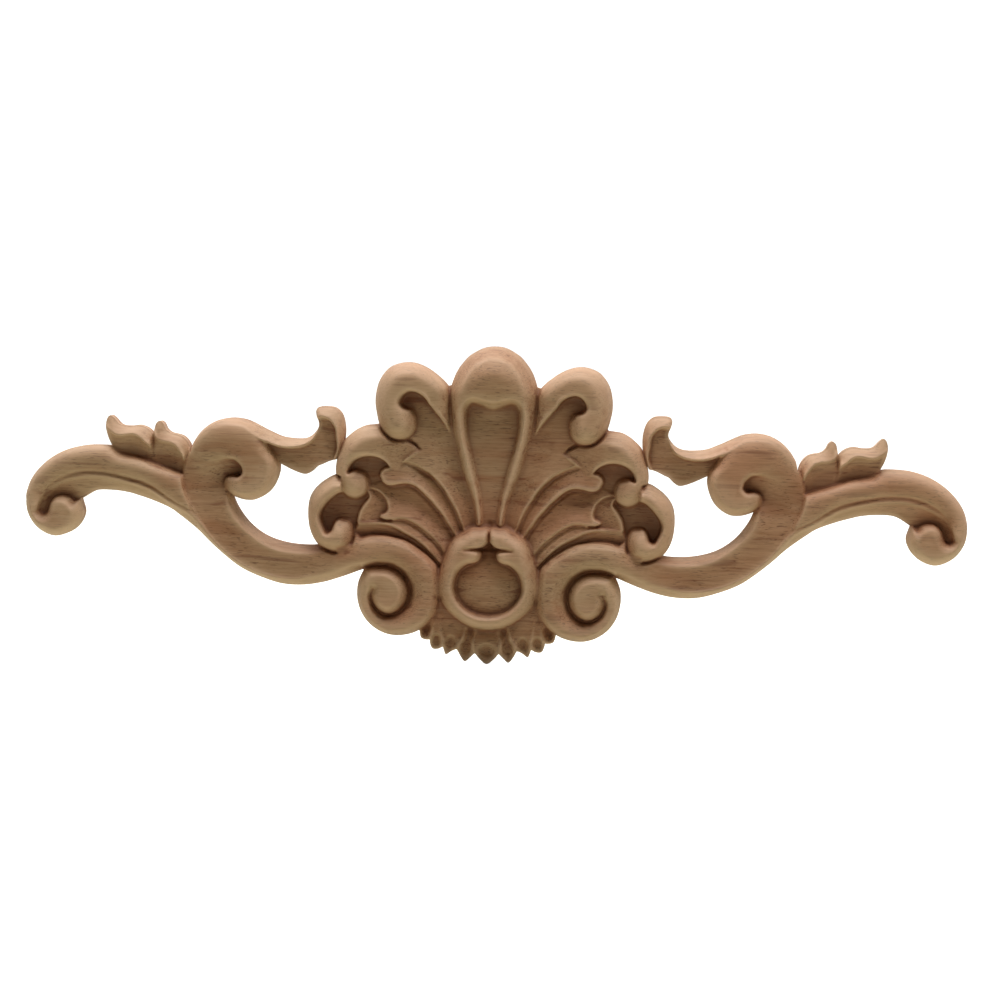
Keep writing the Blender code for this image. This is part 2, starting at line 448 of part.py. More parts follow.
def carve_mid_lobe(r):
    # Middle lobe: a rolled rim from the first flute over to a ball, round a hollow.
    outer = rail([(36, 27.6), (40.3, 30.2), (46, 34), (54.6, 37.5), (58.3, 37.3), (61.5, 36.8), (65, 35.1),
                  (67.9, 32.9), (71.2, 29.5), (73.2, 24.5), (74.7, 19), (75, 15), (74.4, 11), (73, 7),
                  (71, 4.2), (68.5, 2.5), (65, 1.8), (61.8, 2.9), (59.7, 5), (59, 8), (59.5, 11), (61, 13.8),
                  (63.7, 15.1)],
                 [9, 8, EDGE, EDGE, EDGE, EDGE, 7.5, 8.5, 8.5, 8, 8, 8, 8, 8])
    hollow = rail([(63.7, 15.1), (66.3, 14.7), (68.6, 14), (68.2, 17.2), (66.3, 19.8), (62.8, 21.8), (58.9, 22.6),
                   (55.7, 22.4), (52.5, 21.3), (50, 19.4), (48.5, 17.2)], [10, 12.5, 12.5, 12.5, 13, 13, 13, 13, 12.5])
    root = rail([(53.3, 12.9), (51.5, 14), (49, 14.7), (46, 15.6), (43.2, 17.8), (42.2, 21), (39.7, 23.4),
                 (37.2, 25.1), (34.8, 26.2)], [11.5, 11, 11, 11, 10, 9.8, 9.6, 9.6, 9.6])
    r.body(around(outer, hollow, [(44, 17), (41.8, 21), (38, 24.5)]))
    r.carve(around(outer, hollow, [(50.9, 16.8), (52.8, 15.2)], root),
            lowest(roll(outer, LOBE_TOP, 8.5), roll(hollow, LOBE_TOP, [3, 4, 6, 7, 7, 6]), rise(root, LOBE_TOP, 20.0)))
    r.calm(around(outer, hollow, [(50.9, 16.8), (52.8, 15.2)], root), 1.8, 2.2)


def carve_low_lobe(r):
    # Lower lobe: a crescent rim that ends in a ball.
    outer = rail([(72.5, 12), (75, 12.9), (80, 10.3), (83, 7.9), (85.6, 4.9), (87.3, 1.5), (88.1, -3.5),
                  (87.9, -9.2), (87.1, -13.5), (85.4, -17.6), (82.6, -21.2), (80.2, -22.7), (77.3, -24),
                  (73.8, -24.7), (70.4, -24.1), (67.3, -22), (65.6, -18.6), (65.5, -14.5), (66.5, -11),
                  (68.3, -9), (71.1, -8.4)],
                 [8, EDGE, EDGE, EDGE, EDGE, EDGE, EDGE, 8, 9, 9, 8, 8, 8])
    hollow = rail([(71.1, -8.4), (73.8, -9.4), (75.2, -12), (76.3, -14.4), (78.6, -15.4), (80.2, -13.2),
                   (81.8, -9.7), (82.2, -6.5), (81.3, -3.9), (79.1, -0.7), (76.5, 2), (73.8, 4.1), (71.5, 5)],
                  [10, 12, 12.5, 12.5, 12.5, 12.5, 12.5, 12])
    region = around(outer, hollow)
    r.body(region)
    r.carve(region, lowest(roll(outer, LOBE_TOP, 8.0), roll(hollow, LOBE_TOP, [3, 4, 5, 5, 5, 5])))
    r.calm(region, 1.6, 2.2)


def carve_shell(r):
    # Ground of the shell, then its flutes from the petal outwards, each a step below the one before.
    r.body(around([(0, 60), (18, 58), (26, 56), (40, 62), (52, 40), (66, 30), (70, 14), (80, 6), (84, -6),
                   (80, -18), (60, -26), (58, -50), (40, -60), (31, -61), (10, -62), (0, -70), (-6, -70), (-6, 60)]))
    crest0 = rail([(12.6, -13.5), (13.6, -9.6), (14.9, -6.3), (16.5, -2.6), (18.6, 1.1), (20.7, 4.4), (22.7, 7.7),
                   (25.2, 10.6), (27.7, 13.1), (30.2, 15.2), (33.1, 16.8), (36, 18.5), (38.9, 19.7), (42.2, 21)],
                  [12.5, 13, 13.5, 13.5, 14])
    crest1 = rail([(16, -16), (18.6, -11.3), (20.7, -8.4), (23.1, -4.7), (25.6, -1.8), (28.5, 1.5), (31, 4),
                   (33.9, 6.6), (36.8, 8.6), (40.1, 9.5), (43.8, 9.2), (47.5, 8.4), (50.2, 8.7), (52.4, 10.3),
                   (53.4, 12.8), (52.8, 15.2), (50.9, 16.8), (48.5, 17.2)], [12.5, 13, 13.5, 14, 14, 13.5, 13])
    foot1 = rail([(12.8, -13.5), (14.9, -7), (18.9, 0.8), (22.9, 7.4), (27.7, 12.8), (33.1, 16.4), (38.9, 19.3),
                  (42.4, 19.4), (45.5, 16.4), (48.5, 14.9), (51.5, 13.5)], [8.5, 9, 9, 9, 9.5, 11, 12])
    crest2 = rail([(20.8, -25), (23.6, -20), (26.5, -16.7), (29.8, -13.8), (33.1, -11.3), (36.4, -9.2),
                   (39.7, -7.7), (43, -7.3), (46.5, -7.9), (50, -8.2), (53.6, -6.3), (52.3, -5.2), (50.4, -4.2),
                   (49.6, -2.6), (50, 0), (51.2, 2.8), (53.7, 5.2), (56.6, 6.3), (59.3, 6.5)],
                  [12.5, 13, 13, 13, 13.5, 13, 12.5, 12])
    foot2 = rail([(16.5, -16), (21, -8.2), (25.9, -1.8), (31.2, 3.8), (36.9, 8.2), (43.8, 8.8), (49, 8.2),
                  (54, 11), (58.8, 8)], [8.5, 8.5, 8, 8, 7.5, 7, 7])
    crest3 = rail([(23.3, -28), (26.5, -24.1), (29.8, -20.8), (33.1, -17.9), (37.2, -15.4), (41.3, -13.2),
                   (45.5, -11), (50, -9.7), (54, -9), (58, -8.9), (63.7, -9.2)], [12, 12.5, 12.5, 12.5, 12])
    foot3 = rail([(20.8, -25), (26.7, -17), (33.2, -11.7), (39.9, -8.2), (46.5, -8.4), (51.5, -8.5), (55, -8.9)],
                 [9, 9.5, 9.5, 10, 11.5])
    foot4 = rail([(23.5, -30), (27, -26), (33.1, -21.6), (41.3, -17.5), (49.6, -15.8), (58, -16.3), (66, -18)], 7.0)
    leaflet = rail([(59.3, 6.3), (58.2, 2.5), (60.7, -1), (62.9, -5), (63.8, -9.4)], [10.5, 11, 11.5, 11.5, 11])
    tip = rail([(42.2, 21), (39.7, 23.4), (37.2, 25.1), (34.6, 26.4)], [14, 13.8, 13.5, 12.5])
    beside = rail([(20, 52), (20.2, 45), (19.4, 38.7), (18.2, 32.5), (15.3, 21.6), (11.2, 9), (8.3, 0), (7, -12)], 8.2)
    flute = band(beside, np.concatenate([crest0, tip]), -0.8, 1.3)
    r.carve(around([(0, 55), (20, 55), (48, 56), (48, 34), (36, 29)], tip[::-1], crest0[::-1], [(0, -14)]),
            lambda x, z: np.minimum(flute(x, z), 6.8 + 0.14 * np.hypot(x - 42, z - 50)))
    r.calm(around([(20.8, 52), (30, 52), (44, 50), (44, 38), (37, 28.6), (35, 27)], tip[::-1], crest0[::-1],
                  [(2, -13), (8, 2), (13, 20), (17, 38)]), 2.2, 1.8)
    for region, surface in ((around(crest0, [(46, 19)], crest1[:-2][::-1]), band(foot1, crest1, -1.0, 1.2)),
                            (around(crest1, [(56, 16), (60, 10)], crest2[::-1]), band(foot2, crest2, -1.2, 1.2)),
                            (around(crest2[:52], [(60, -7), (63.7, -9.2)], crest3[::-1]), band(foot3, crest3, 0.2)),
                            (around(crest3, [(67, -14)], foot4[::-1]), band(crest3, foot4, -1.0, 1.0))):
        r.carve(region, surface)
        r.calm(region, 1.8, 1.3)
    return crest2, leaflet, crest1


def carve_hollows(r, crest2, leaflet, crest1):
    # Hollow under the middle lobe, the small leaf below it, and the hollow of the lower lobe.
    r.carve(around([(48.5, 17.2), (50, 19.4), (52.5, 21.3), (55.7, 22.4), (58.9, 22.6), (62.8, 21.8), (66.3, 19.8),
                    (68.2, 17.2), (68.6, 14), (62, 12), (59, 8), (57.5, 9), (53.6, 10.5), (53.6, 13), (52.8, 15.4),
                    (50.9, 17)]), flat(FLOOR + 0.3))
    r.carve(around([(59, 5), (58.2, 2.5)], leaflet[1:], [(66, -14), (72, -8), (76, -13), (79, -15), (82, -6),
                   (76, 3), (71, 6), (62, 2)]), flat(FLOOR))
    end = crest2[-34:]
    r.carve(around(end, leaflet, [(57, -8.8), (53.8, -8.6)]), band(end + [0, 0, -5.0, 0], leaflet, -0.3, 1.6))


def carve_ring(r):
    # Cartouche: a ring of two curled leaves round a plain, slightly domed field.
    outer = rail([(-5, -9.6), (0, -9.2), (4.1, -9.4), (8.3, -9.9), (12, -12), (16.5, -15.2), (19, -18.2),
                  (21.2, -23), (22.8, -28), (23.6, -33), (23.7, -38), (23, -43), (21, -48), (18, -52), (13.5, -55.7),
                  (9, -58), (5, -59.1), (0, -59.6), (-5, -59.1)],
                 [9, 9, 9.5, 10, 10.5, 10.5, 10, 10, 10.5, 11.5, 13, 13, 12, 10.5, 9.5, 9.5, 9.5, 9.5, 9.5])
    hole = rail([(-5, -52.0), (0, -52.4), (5, -51.8), (9, -50.3), (12.5, -47.5), (15, -44), (16.4, -40), (16.2, -36),
                 (15, -32.5), (13, -29.7), (10, -27.6), (7.3, -26.8), (5, -25.6), (3.9, -23.6), (4.3, -21.6),
                 (7, -20.6), (11, -20.4)], [14.5] * 11 + [15, 14.5, 14, 14.5, 16, 17.5])
    knuckle = rail([(-3, -17.6), (0, -16.8), (1.2, -17.9), (3, -19.2), (5.5, -19.9), (8, -20.2), (11, -20.4)],
                   [11.5, 12, 12.5, 14, 15.5, 16.5, 17.5])
    cleft = rail([(0, -8), (0, -12), (0, -17)], [11, 14, 12])
    region = around(outer, [(-5, -52)], hole[1:], knuckle[::-1])
    r.carve(around(outer, [(-5, -30)]), flat(9.5))
    r.carve(around(hole, [(5, -18), (-5, -18)]),
            lambda x, z: 14.2 - 3.4 * ((x / 16.4) ** 2 + ((z + 39.5) / 13) ** 2), np.minimum)
    r.carve(around(hole[:-5], [(3, -22), (-5, -22)]),
            lambda x, z: 14.2 - 3.4 * np.minimum((x / 16.4) ** 2 + ((z + 39.5) / 13) ** 2, 1.6))
    body = lowest(roll(outer, [17.5, 18, RING_TOP, RING_TOP, 18, 17.5, 17.5, 17.5, 17.5], [5, 6, 6, 7, 7, 6, 5.5, 5.5]),
                  roll(hole, RING_TOP, [4, 4, 4, 4, 4, 4, 3, 2.2, 2.2]), roll(knuckle, RING_TOP, [3, 3, 2.4]))
    r.carve(region, lowest(body, roll(cleft, RING_TOP, [2.4, 2.2, 3.0])))
    # Low down the ring and the volute run into each other.
    r.calm(around([(20.5, -33), (23, -31.5), (26.5, -33), (27.5, -42), (28, -50), (24, -52), (19, -49), (20, -42)]),
           0.7, 2.4)


def dent(cx, cz, wide, high, deep, turn=0.0):
    """A thumbprint hollow as an outline and a shape that is taken off."""
    co, si = math.cos(turn), math.sin(turn)
    ring = [(cx + wide * math.cos(a) * co - high * math.sin(a) * si, cz + wide * math.cos(a) * si
             + high * math.sin(a) * co) for a in np.linspace(0, math.tau, 28, endpoint=False)]

    def drop(x, z):
        u, v = (x - cx) * co + (z - cz) * si, (z - cz) * co - (x - cx) * si
        return deep * np.clip(1 - (u / wide) ** 2 - (v / high) ** 2, 0, 1) ** 1.5
    return np.array(ring), drop


def carve_fringe(r):
    # Pointed scallops along the lower edge, each with a thumbprint hollow.
    lower = rail([(-5.8, -71), (-3.4, -73.9), (0, -76.2), (3.4, -73.9), (5.8, -71)], EDGE, step=0.7)
    scallops = [[(5.8, -71), (8, -73.3), (10.5, -75.2), (12.8, -72.6), (14.5, -69.3)],
                [(14.5, -69.3), (17, -70.5), (19.8, -72.2), (20.7, -70.3), (21.2, -68.4)],
                [(21.2, -68.4), (23.4, -69.6), (26.2, -69.6), (27.4, -67.6), (27.6, -65.2)],
                [(27.6, -65.2), (29.6, -65.4), (31.9, -64.6), (32.6, -62.6), (32.8, -60.4)]]
    lower = np.concatenate([lower] + [rail(points, EDGE, step=0.7) for points in scallops])
    r.body(around(lower, [(30, -55), (-5, -55)]))
    root = rail([(-6, -59), (0, -59.6), (9.6, -57.8), (18, -52), (23, -48), (28, -56), (33, -61)],
                [8.5, 8.5, 9, 10.5, 11.5, 9.5, 8])
    region = around(lower, [(33, -56), (24, -46), (-5, -50)])
    r.carve(region, lowest(roll(lower, 10.6, 2.6), rise(root, 10.8, 6.0)))
    r.calm(region, 1.2, 1.0)
    for line, lift in (([(5.8, -71), (6.9, -66), (5.6, -60)], 1.2),
                       ([(14.5, -69.3), (12.6, -66), (11, -62.5), (10.1, -58)], 1.3),
                       ([(21.2, -68.6), (21.5, -64), (22.4, -58), (22.6, -53)], 0.9),
                       ([(27.5, -65.3), (26.9, -61.5), (25.4, -56)], 1.0)):
        r.ridge(rail(line, 0), lift, 1.1)
    for cx, cz, wide, high, deep, turn in ((0, -70.2, 5.2, 4.8, 3.8, 0), (10.2, -68.6, 3.7, 6.2, 3.6, 0.12),
                                           (8.4, -62.0, 2.9, 5.5, 1.5, 0.1), (17.6, -66.6, 3.4, 4.8, 3.4, 0.2),
                                           (24.4, -65.6, 3.2, 4.2, 3.4, 0.1), (29.6, -61.0, 3.0, 4.6, 3.8, 0.4)):
        ring, drop = dent(cx, cz, wide, high, deep, turn)
        w = r.window(ring, 0)
        r.height[w] -= drop(r.x[w], r.z[w])


def soften(r, radius, rounds=2):
    """Rounds every crest and crease, as a small cutter and sandpaper do."""
    n = max(1, round(radius / r.cell))
    weights = np.exp(-0.5 * (np.arange(-2 * n, 2 * n + 1) / n) ** 2) if n > 1 else np.array([0.25, 0.5, 0.25])
    weights /= weights.sum()
    half = len(weights) // 2
    near_in = r.depth_in > -2.5
    for _ in range(rounds):
        for axis in (0, 1):
            total = sum(w * np.roll(r.height, k - half, axis) for k, w in enumerate(weights))
            r.height = np.where(near_in, total, r.height)


def carved(cell, radius):
    """The whole right half, with the neighbouring bodies laid over one another from the back to the front."""
    r = Relief(cell)
    carve_fringe(r)
    crests = carve_shell(r)
    carve_hollows(r, *crests)
    carve_leaves(r)
    carve_wing(r)
    carve_flag(r)
    carve_scroll(r)
    carve_flag_top(r)
    carve_mid_lobe(r)
    carve_low_lobe(r)
    carve_volute(r)
    carve_curl(r)
    carve_petal(r)
    carve_ring(r)
    middle = int(np.argmin(np.abs(r.xs)))
    r.depth_in[:middle] = r.depth_in[2 * middle:middle:-1]
    r.height[:middle] = r.height[2 * middle:middle:-1]
    soften(r, radius)
    r.height[:middle] = r.height[2 * middle:middle:-1]
    return r


def right_half(r):
    """The right half, cut off along the outline and open in the middle plane, as points and faces in mm."""
    first = int(np.argmin(np.abs(r.xs)))
    points, faces, known = [], [], {}

    def corner(i, j):
        if (i, j) not in known:
            known[i, j] = len(points)
            points.append((r.xs[i] if i > first else 0.0, -r.height[i, j], r.zs[j]))
        return known[i, j]

    def crossing(a, b):
        if (a, b) not in known:
            da, db = r.depth_in[a], r.depth_in[b]
            t = min(max(da / (da - db), 0.1), 0.9)
            ha, hb = r.height[a], r.height[b]
            x = r.xs[a[0]] * (1 - t) + r.xs[b[0]] * t
            z = r.zs[a[1]] * (1 - t) + r.zs[b[1]] * t
            known[a, b] = len(points)
            points.append((x if max(a[0], b[0]) > first else 0.0, -(ha * (1 - t) + hb * t), z))
        return known[a, b]

    solid = r.depth_in > 0
    for i in range(first, len(r.xs) - 1):
        for j in range(len(r.zs) - 1):
            if not solid[i:i + 2, j:j + 2].any():
                continue
            ring = ((i, j), (i + 1, j), (i + 1, j + 1), (i, j + 1))
            face = []
            for a, b in zip(ring, ring[1:] + ring[:1]):
                if solid[a]:
                    face.append(corner(*a))
                if solid[a] != solid[b]:
                    face.append(crossing(a, b) if solid[a] else crossing(b, a))
            faces.append(face)
    count = len(points)
    used = {(a, b) for face in faces for a, b in zip(face, face[1:] + face[:1])}
    wall = [(b, a, a + count, b + count) for a, b in used
            if (b, a) not in used and max(points[a][0], points[b][0]) > 0]
    back = [[k + count for k in reversed(face)] for face in faces]
    points += [(x, 0.0, z) for x, _, z in points]
    return points, faces + wall + back


def largest_piece(bm):
    """Removes every loose piece but the largest."""
    left, pieces = set(bm.verts), []
    while left:
        front = [left.pop()]
        piece = list(front)
        while front:
            for edge in front.pop().link_edges:
                for vert in edge.verts:
                    if vert in left:
                        left.remove(vert)
                        front.append(vert)
                        piece.append(vert)
        pieces.append(piece)
    pieces.sort(key=len)
    bmesh.ops.delete(bm, geom=[v for piece in pieces[:-1] for v in piece], context="VERTS")


def thinned(points, faces, wanted):
    """The same surface with about the wanted number of triangles."""
    mesh = bpy.data.meshes.new("half")
    mesh.from_pydata(points, [], faces)
    bm = bmesh.new()
    bm.from_mesh(mesh)
    largest_piece(bm)
    bmesh.ops.triangulate(bm, faces=bm.faces)
    bm.to_mesh(mesh)
    bm.free()
    helper = bpy.data.objects.new("half", mesh)
    bpy.context.scene.collection.objects.link(helper)
    modifier = helper.modifiers.new("thin", "DECIMATE")
    modifier.ratio = wanted / len(mesh.polygons)
    graph = bpy.context.evaluated_depsgraph_get()
    result = bpy.data.meshes.new_from_object(helper.evaluated_get(graph))
    bpy.data.objects.remove(helper)
    return result


def both_halves(half, scale):
    """The half and its mirror image joined in the middle, in metres."""
    bm = bmesh.new()
    bm.from_mesh(half)
    for vert in bm.verts:
        if vert.is_boundary:
            vert.co.x = 0.0
        if vert.co.y > -1.0:
            vert.co.y = 0.0
    turned = bmesh.ops.duplicate(bm, geom=bm.verts[:] + bm.edges[:] + bm.faces[:])["geom"]
    for item in turned:
        if isinstance(item, bmesh.types.BMVert):
            item.co.x = -item.co.x
    bmesh.ops.reverse_faces(bm, faces=[item for item in turned if isinstance(item, bmesh.types.BMFace)])
    bmesh.ops.remove_doubles(bm, verts=[v for v in bm.verts if v.co.x == 0.0], dist=0.002)
    for vert in bm.verts:
        vert.co *= MM * scale
    mesh = bpy.data.meshes.new("carved_applique")
    bm.to_mesh(mesh)
    bm.free()
    return mesh


def wood():
    material = bpy.data.materials.new("pale_wood")
    material.use_nodes = True
    shader = material.node_tree.nodes["Principled BSDF"]
    shader.inputs["Base Color"].default_value = (0.42, 0.25, 0.15, 1.0)
    shader.inputs["Roughness"].default_value = 0.62
    shader.inputs["Metallic"].default_value = 0.0
    return material


def main():
    for item in list(bpy.data.objects):
        bpy.data.objects.remove(item)
    relief = carved(CELL, ROUNDING)
    points, faces = right_half(relief)
    reach = max(point[0] for point in points)
    half = thinned(points, faces, TRIANGLES / 2)
    mesh = both_halves(half, WIDTH / (2 * reach))
    mesh.materials.append(wood())
    mesh.shade_smooth()
    mesh.set_sharp_from_angle(angle=math.radians(50))
    applique = bpy.data.objects.new("carved_applique", mesh)
    bpy.context.scene.collection.objects.link(applique)
    print("triangles", len(mesh.polygons))


main()
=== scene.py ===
"""A wooden applique carved from one board: a shell above a ringed cartouche, with volutes, arms and leaves.

The carving is worked out as heights on a fine grid, right half first, meshed and mirrored. It rides on the
one body of the frame and stands for the one solid there, which has the same forms with fewer faces.
"""
import math

import bpy
import bmesh
import numpy as np
from mathutils import Matrix, Vector


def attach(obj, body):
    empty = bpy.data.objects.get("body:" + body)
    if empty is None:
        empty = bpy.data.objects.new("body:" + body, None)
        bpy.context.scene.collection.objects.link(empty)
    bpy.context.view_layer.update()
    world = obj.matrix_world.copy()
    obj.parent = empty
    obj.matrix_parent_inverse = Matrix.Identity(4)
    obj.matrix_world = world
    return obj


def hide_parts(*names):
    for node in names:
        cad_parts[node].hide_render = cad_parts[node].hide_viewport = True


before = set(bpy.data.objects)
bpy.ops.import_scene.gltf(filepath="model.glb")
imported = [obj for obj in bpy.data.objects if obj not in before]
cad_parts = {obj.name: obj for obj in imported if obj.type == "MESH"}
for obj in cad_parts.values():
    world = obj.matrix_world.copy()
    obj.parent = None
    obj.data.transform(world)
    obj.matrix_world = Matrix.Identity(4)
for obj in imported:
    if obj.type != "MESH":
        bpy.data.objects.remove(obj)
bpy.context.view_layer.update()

# The carving is in millimetres: x out from the middle, z up, and the height forward from the flat back.
# The right half is drawn, and the left half is its mirror image.
MM = 0.001
WIDTH = 450.0       # overall width
TRIANGLES = 190000  # how many the finished mesh has, nearly
CELL = 0.36         # spacing of the grid
GRID_START = 10.0   # how far left of the middle it starts, so that smoothing sees both sides
GRID_END = 228.0    # it ends beyond the outer arm
GRID_LOW, GRID_HIGH = -79.0, 79.0
SEAM = 0.002        # points this close are joined where the halves meet
BACK_ZONE = 1.0     # points this near the back lie on it
SHARP_ANGLE = 60    # edges sharper than this aren't smoothed over, degrees

EDGE = 6.5          # thickness at the outline
FLOOR = 6.5         # deepest hollows of the shell
WING_CREST = 11.5   # crests of the outer arms and leaves
SCROLL_TOP = 14.5   # C-shaped scrolls
VOLUTE_TOP = 16.0   # lower volutes
LOBE_TOP = 17.0     # rolled rims and balls of the shell
PETAL_TOP = 20.0    # dome of the middle petal
RING_TOP = 19.0     # ring of the cartouche
FIELD_TOP = 14.2    # plain field inside the ring
HEART_STEP = 1.4    # step at the edge of the petal's hollow
WALL = 0.7          # width of the wall at a step
SMOOTHED = 2.5      # the surface is rounded as far as this beyond the outline
OFF_GRID = -50.0    # depth inside the outline where no form has been laid yet
SURROUND = 1.5      # level that counts beyond the outline where painted shade and highlights are worked out

# Lines that more than one form follows.
ARM_UNDER = [(150, -9.5), (155, -6.1), (165, -2.1), (174.5, 0.7), (183.5, 1.8), (192, 1.3), (199.7, -3)]
ARM_END = [(226.1, -3.8), (224.9, -11.2), (219.8, -18)]
ARM_CREASE = [(144.7, -7), (153.5, -2.4), (165, 4.7), (180, 8.9), (190, 10.2), (200, 9.7), (210, 6.1),
              (215, 2.1), (218.6, -3), (220.3, -7.5)]
BALL_OVER = [(202.6, -4.4), (205, -2.7), (208.2, -1.9), (211.5, -2.5), (213.8, -4.7), (215, -7.5),
             (216.2, -10.4), (218.5, -11.3), (220.6, -9.8)]
LIMB_CREST = [(140.2, -11.4), (133.9, -19.7), (125, -27.9), (114.9, -33.6), (104.8, -36.8), (94, -37.7),
              (85, -35.9), (75, -33.7), (65, -29.3), (60, -27.6), (54, -26.6)]
LOBE_HOLLOW = [(68.6, 14), (68.2, 17.2), (66.3, 19.8), (62.8, 21.8), (58.9, 22.6), (55.7, 22.4),
               (52.5, 21.3), (50, 19.4), (48.5, 17.2)]
FLAG_TOP = [(84.9, 40.4), (83.8, 37.5), (83.8, 35.6), (85, 33.5), (87.1, 31.3), (90.2, 29.8), (94, 29.4),
            (98.4, 29.6), (102.2, 30.2), (106.7, 32), (110.5, 33.7), (114.9, 35.9)]
FLAG_CREST = [(84.9, 40.4), (83.7, 37.5), (83.8, 35.2), (84.5, 32.9), (85.8, 30.3), (87.7, 28.1),
              (90.9, 26.3), (95, 25.4), (100, 25.3), (104.5, 26.1), (110.5, 28.6), (114.9, 30.9)]


def rail(points, heights, step=1.0):
    """A smooth line through the points: rows of x, z, height, share of its length. There is one height for
    each point, or else they are spread evenly along the line."""
    p = np.array(points, float)
    q = np.concatenate([2 * p[:1] - p[1:2], p, 2 * p[-1:] - p[-2:-1]])
    rows, stops = [], []
    for a, b, c, d in zip(q[:-3], q[1:-2], q[2:-1], q[3:]):
        stops.append(len(rows))
        k = [0]
        for m, n in ((a, b), (b, c), (c, d)):
            k.append(k[-1] + max(math.hypot(*(n - m)), 1e-6) ** 0.5)
        for t in np.linspace(k[1], k[2], max(2, math.ceil(math.hypot(*(c - b)) / step)), endpoint=False):
            ab = (a * (k[1] - t) + b * (t - k[0])) / (k[1] - k[0])
            bc = (b * (k[2] - t) + c * (t - k[1])) / (k[2] - k[1])
            cd = (c * (k[3] - t) + d * (t - k[2])) / (k[3] - k[2])
            abc = (ab * (k[2] - t) + bc * (t - k[0])) / (k[2] - k[0])
            bcd = (bc * (k[3] - t) + cd * (t - k[1])) / (k[3] - k[1])
            rows.append((abc * (k[2] - t) + bcd * (t - k[1])) / (k[2] - k[1]))
    stops.append(len(rows))
    rows.append(p[-1])
    line = np.array(rows)
    share = np.concatenate([[0], np.cumsum(np.hypot(*np.diff(line, axis=0).T))])
    share /= share[-1]
    if len(np.atleast_1d(heights)) == len(stops):
        return np.column_stack([line, np.interp(share, share[stops], heights), share])
    return np.column_stack([line, spread(heights, share), share])


def shifted(line, offset):
    """The line moved to its right."""
    ahead = np.gradient(line[:, :2], axis=0)
    ahead /= np.linalg.norm(ahead, axis=1)[:, None]
    moved = line.copy()
    moved[:, :2] += offset * np.column_stack([ahead[:, 1], -ahead[:, 0]])
    return moved


def spread(values, share):
    """Values spread evenly over 0 to 1, read at each share."""
    values = np.atleast_1d(values)
    return np.interp(share, np.linspace(0, 1, len(values)), values)


def near(line, x, z):
    """For each place: its distance to the line, the line's height there, and the share along it."""
    best = np.full(x.shape, 1e9)
    height, share = np.zeros(x.shape), np.zeros(x.shape)
    for (ax, az, ah, au), (bx, bz, bh, bu) in zip(line[:-1], line[1:]):
        ux, uz = bx - ax, bz - az
        s = np.clip(((x - ax) * ux + (z - az) * uz) / max(ux * ux + uz * uz, 1e-9), 0, 1)
        d = (x - ax - s * ux) ** 2 + (z - az - s * uz) ** 2
        closer = d < best
        best = np.where(closer, d, best)
        height = np.where(closer, ah + s * (bh - ah), height)
        share = np.where(closer, au + s * (bu - au), share)
    return np.sqrt(best), height, share


def nearest(line, x, z):
    """The number of the row nearest to a place."""
    return int(np.argmin(np.hypot(line[:, 0] - x, line[:, 1] - z)))


def stretch(line, start=None, end=None):
    """The rows of a line from the one nearest to a place up to the one nearest to another."""
    return line[nearest(line, *start) if start else 0:nearest(line, *end) if end else len(line)]


def from_outline(outline, x, z):
    """The distance of each place to a closed outline."""
    loop = np.column_stack([outline, 0 * outline])
    return near(np.concatenate([loop, loop[:1]]), x, z)[0]


def inside(outline, x, z):
    odd = np.zeros(x.shape, bool)
    for (ax, az), (bx, bz) in zip(outline, np.roll(outline, -1, axis=0)):
        if az != bz:
            odd ^= ((az > z) != (bz > z)) & (x < ax + (z - az) * (bx - ax) / (bz - az))
    return odd


def quarter(t):
    """A quarter circle from 0 to 1 that starts steep, not upright."""
    def circle(u):
        return np.sqrt(1 - (1 - u) ** 2)
    start = 0.12
    return (circle(start + (1 - start) * np.clip(t, 0, 1)) - circle(start)) / (1 - circle(start))


def curve(value, points):
    """Reads a smooth curve through points whose first numbers rise."""
    line = rail(points, 0, step=0.5)
    return np.interp(value, line[:, 0], line[:, 1])


def ease(t):
    t = np.clip(t, 0, 1)
    return t * t * (3 - 2 * t)


def band(a, b, bulge=0.0, power=1.0, tube=0.0, lean=0.5):
    """A strip from line a to line b, lifted between them by a flat arch and by a round tube. Both may vary
    along b, and lean is the share of the way to b where they are highest."""
    def shape(x, z):
        da, ha, _ = near(a, x, z)
        db, hb, share = near(b, x, z)
        t = da / np.maximum(da + db, 1e-6)
        leant = t ** (math.log(0.5) / math.log(lean))
        arch = 4 * leant * (1 - leant)
        slope = ha + (hb - ha) * t ** power
        return slope + spread(bulge, share) * arch + spread(tube, share) * np.sqrt(arch)
    return shape


def rise(line, top, reach):
    """An even slope up from the line to the top within its reach."""
    def shape(x, z):
        d, h, _ = near(line, x, z)
        return h + (top - h) * np.clip(d / reach, 0, 1)
    return shape


def roll(line, top, reach):
    """A rounded edge that rises from the line's height to the top within its reach."""
    def shape(x, z):
        d, h, share = near(line, x, z)
        return h + (spread(top, share) - h) * quarter(d / spread(reach, share))
    return shape


def lowest(*shapes):
    return lambda x, z: np.minimum.reduce([shape(x, z) for shape in shapes])


def flat(h):
    return lambda x, z: h + 0 * x


def blurred(a, sigma):
    """The array smoothed by a bell curve with this spread in cells."""
    n = math.ceil(2.5 * sigma)
    weights = np.exp(-0.5 * (np.arange(-n, n + 1) / sigma) ** 2)
    weights /= weights.sum()
    for axis in (0, 1):
        padded = np.pad(a, [(n, n) if k == axis else (0, 0) for k in (0, 1)])
        size = a.shape[axis]
        a = sum(w * np.take(padded, range(k, k + size), axis) for k, w in enumerate(weights))
    return a


def around(*lines):
    """The closed outline made by lines end to end."""
    return np.concatenate([np.asarray(line, float)[:, :2] for line in lines])


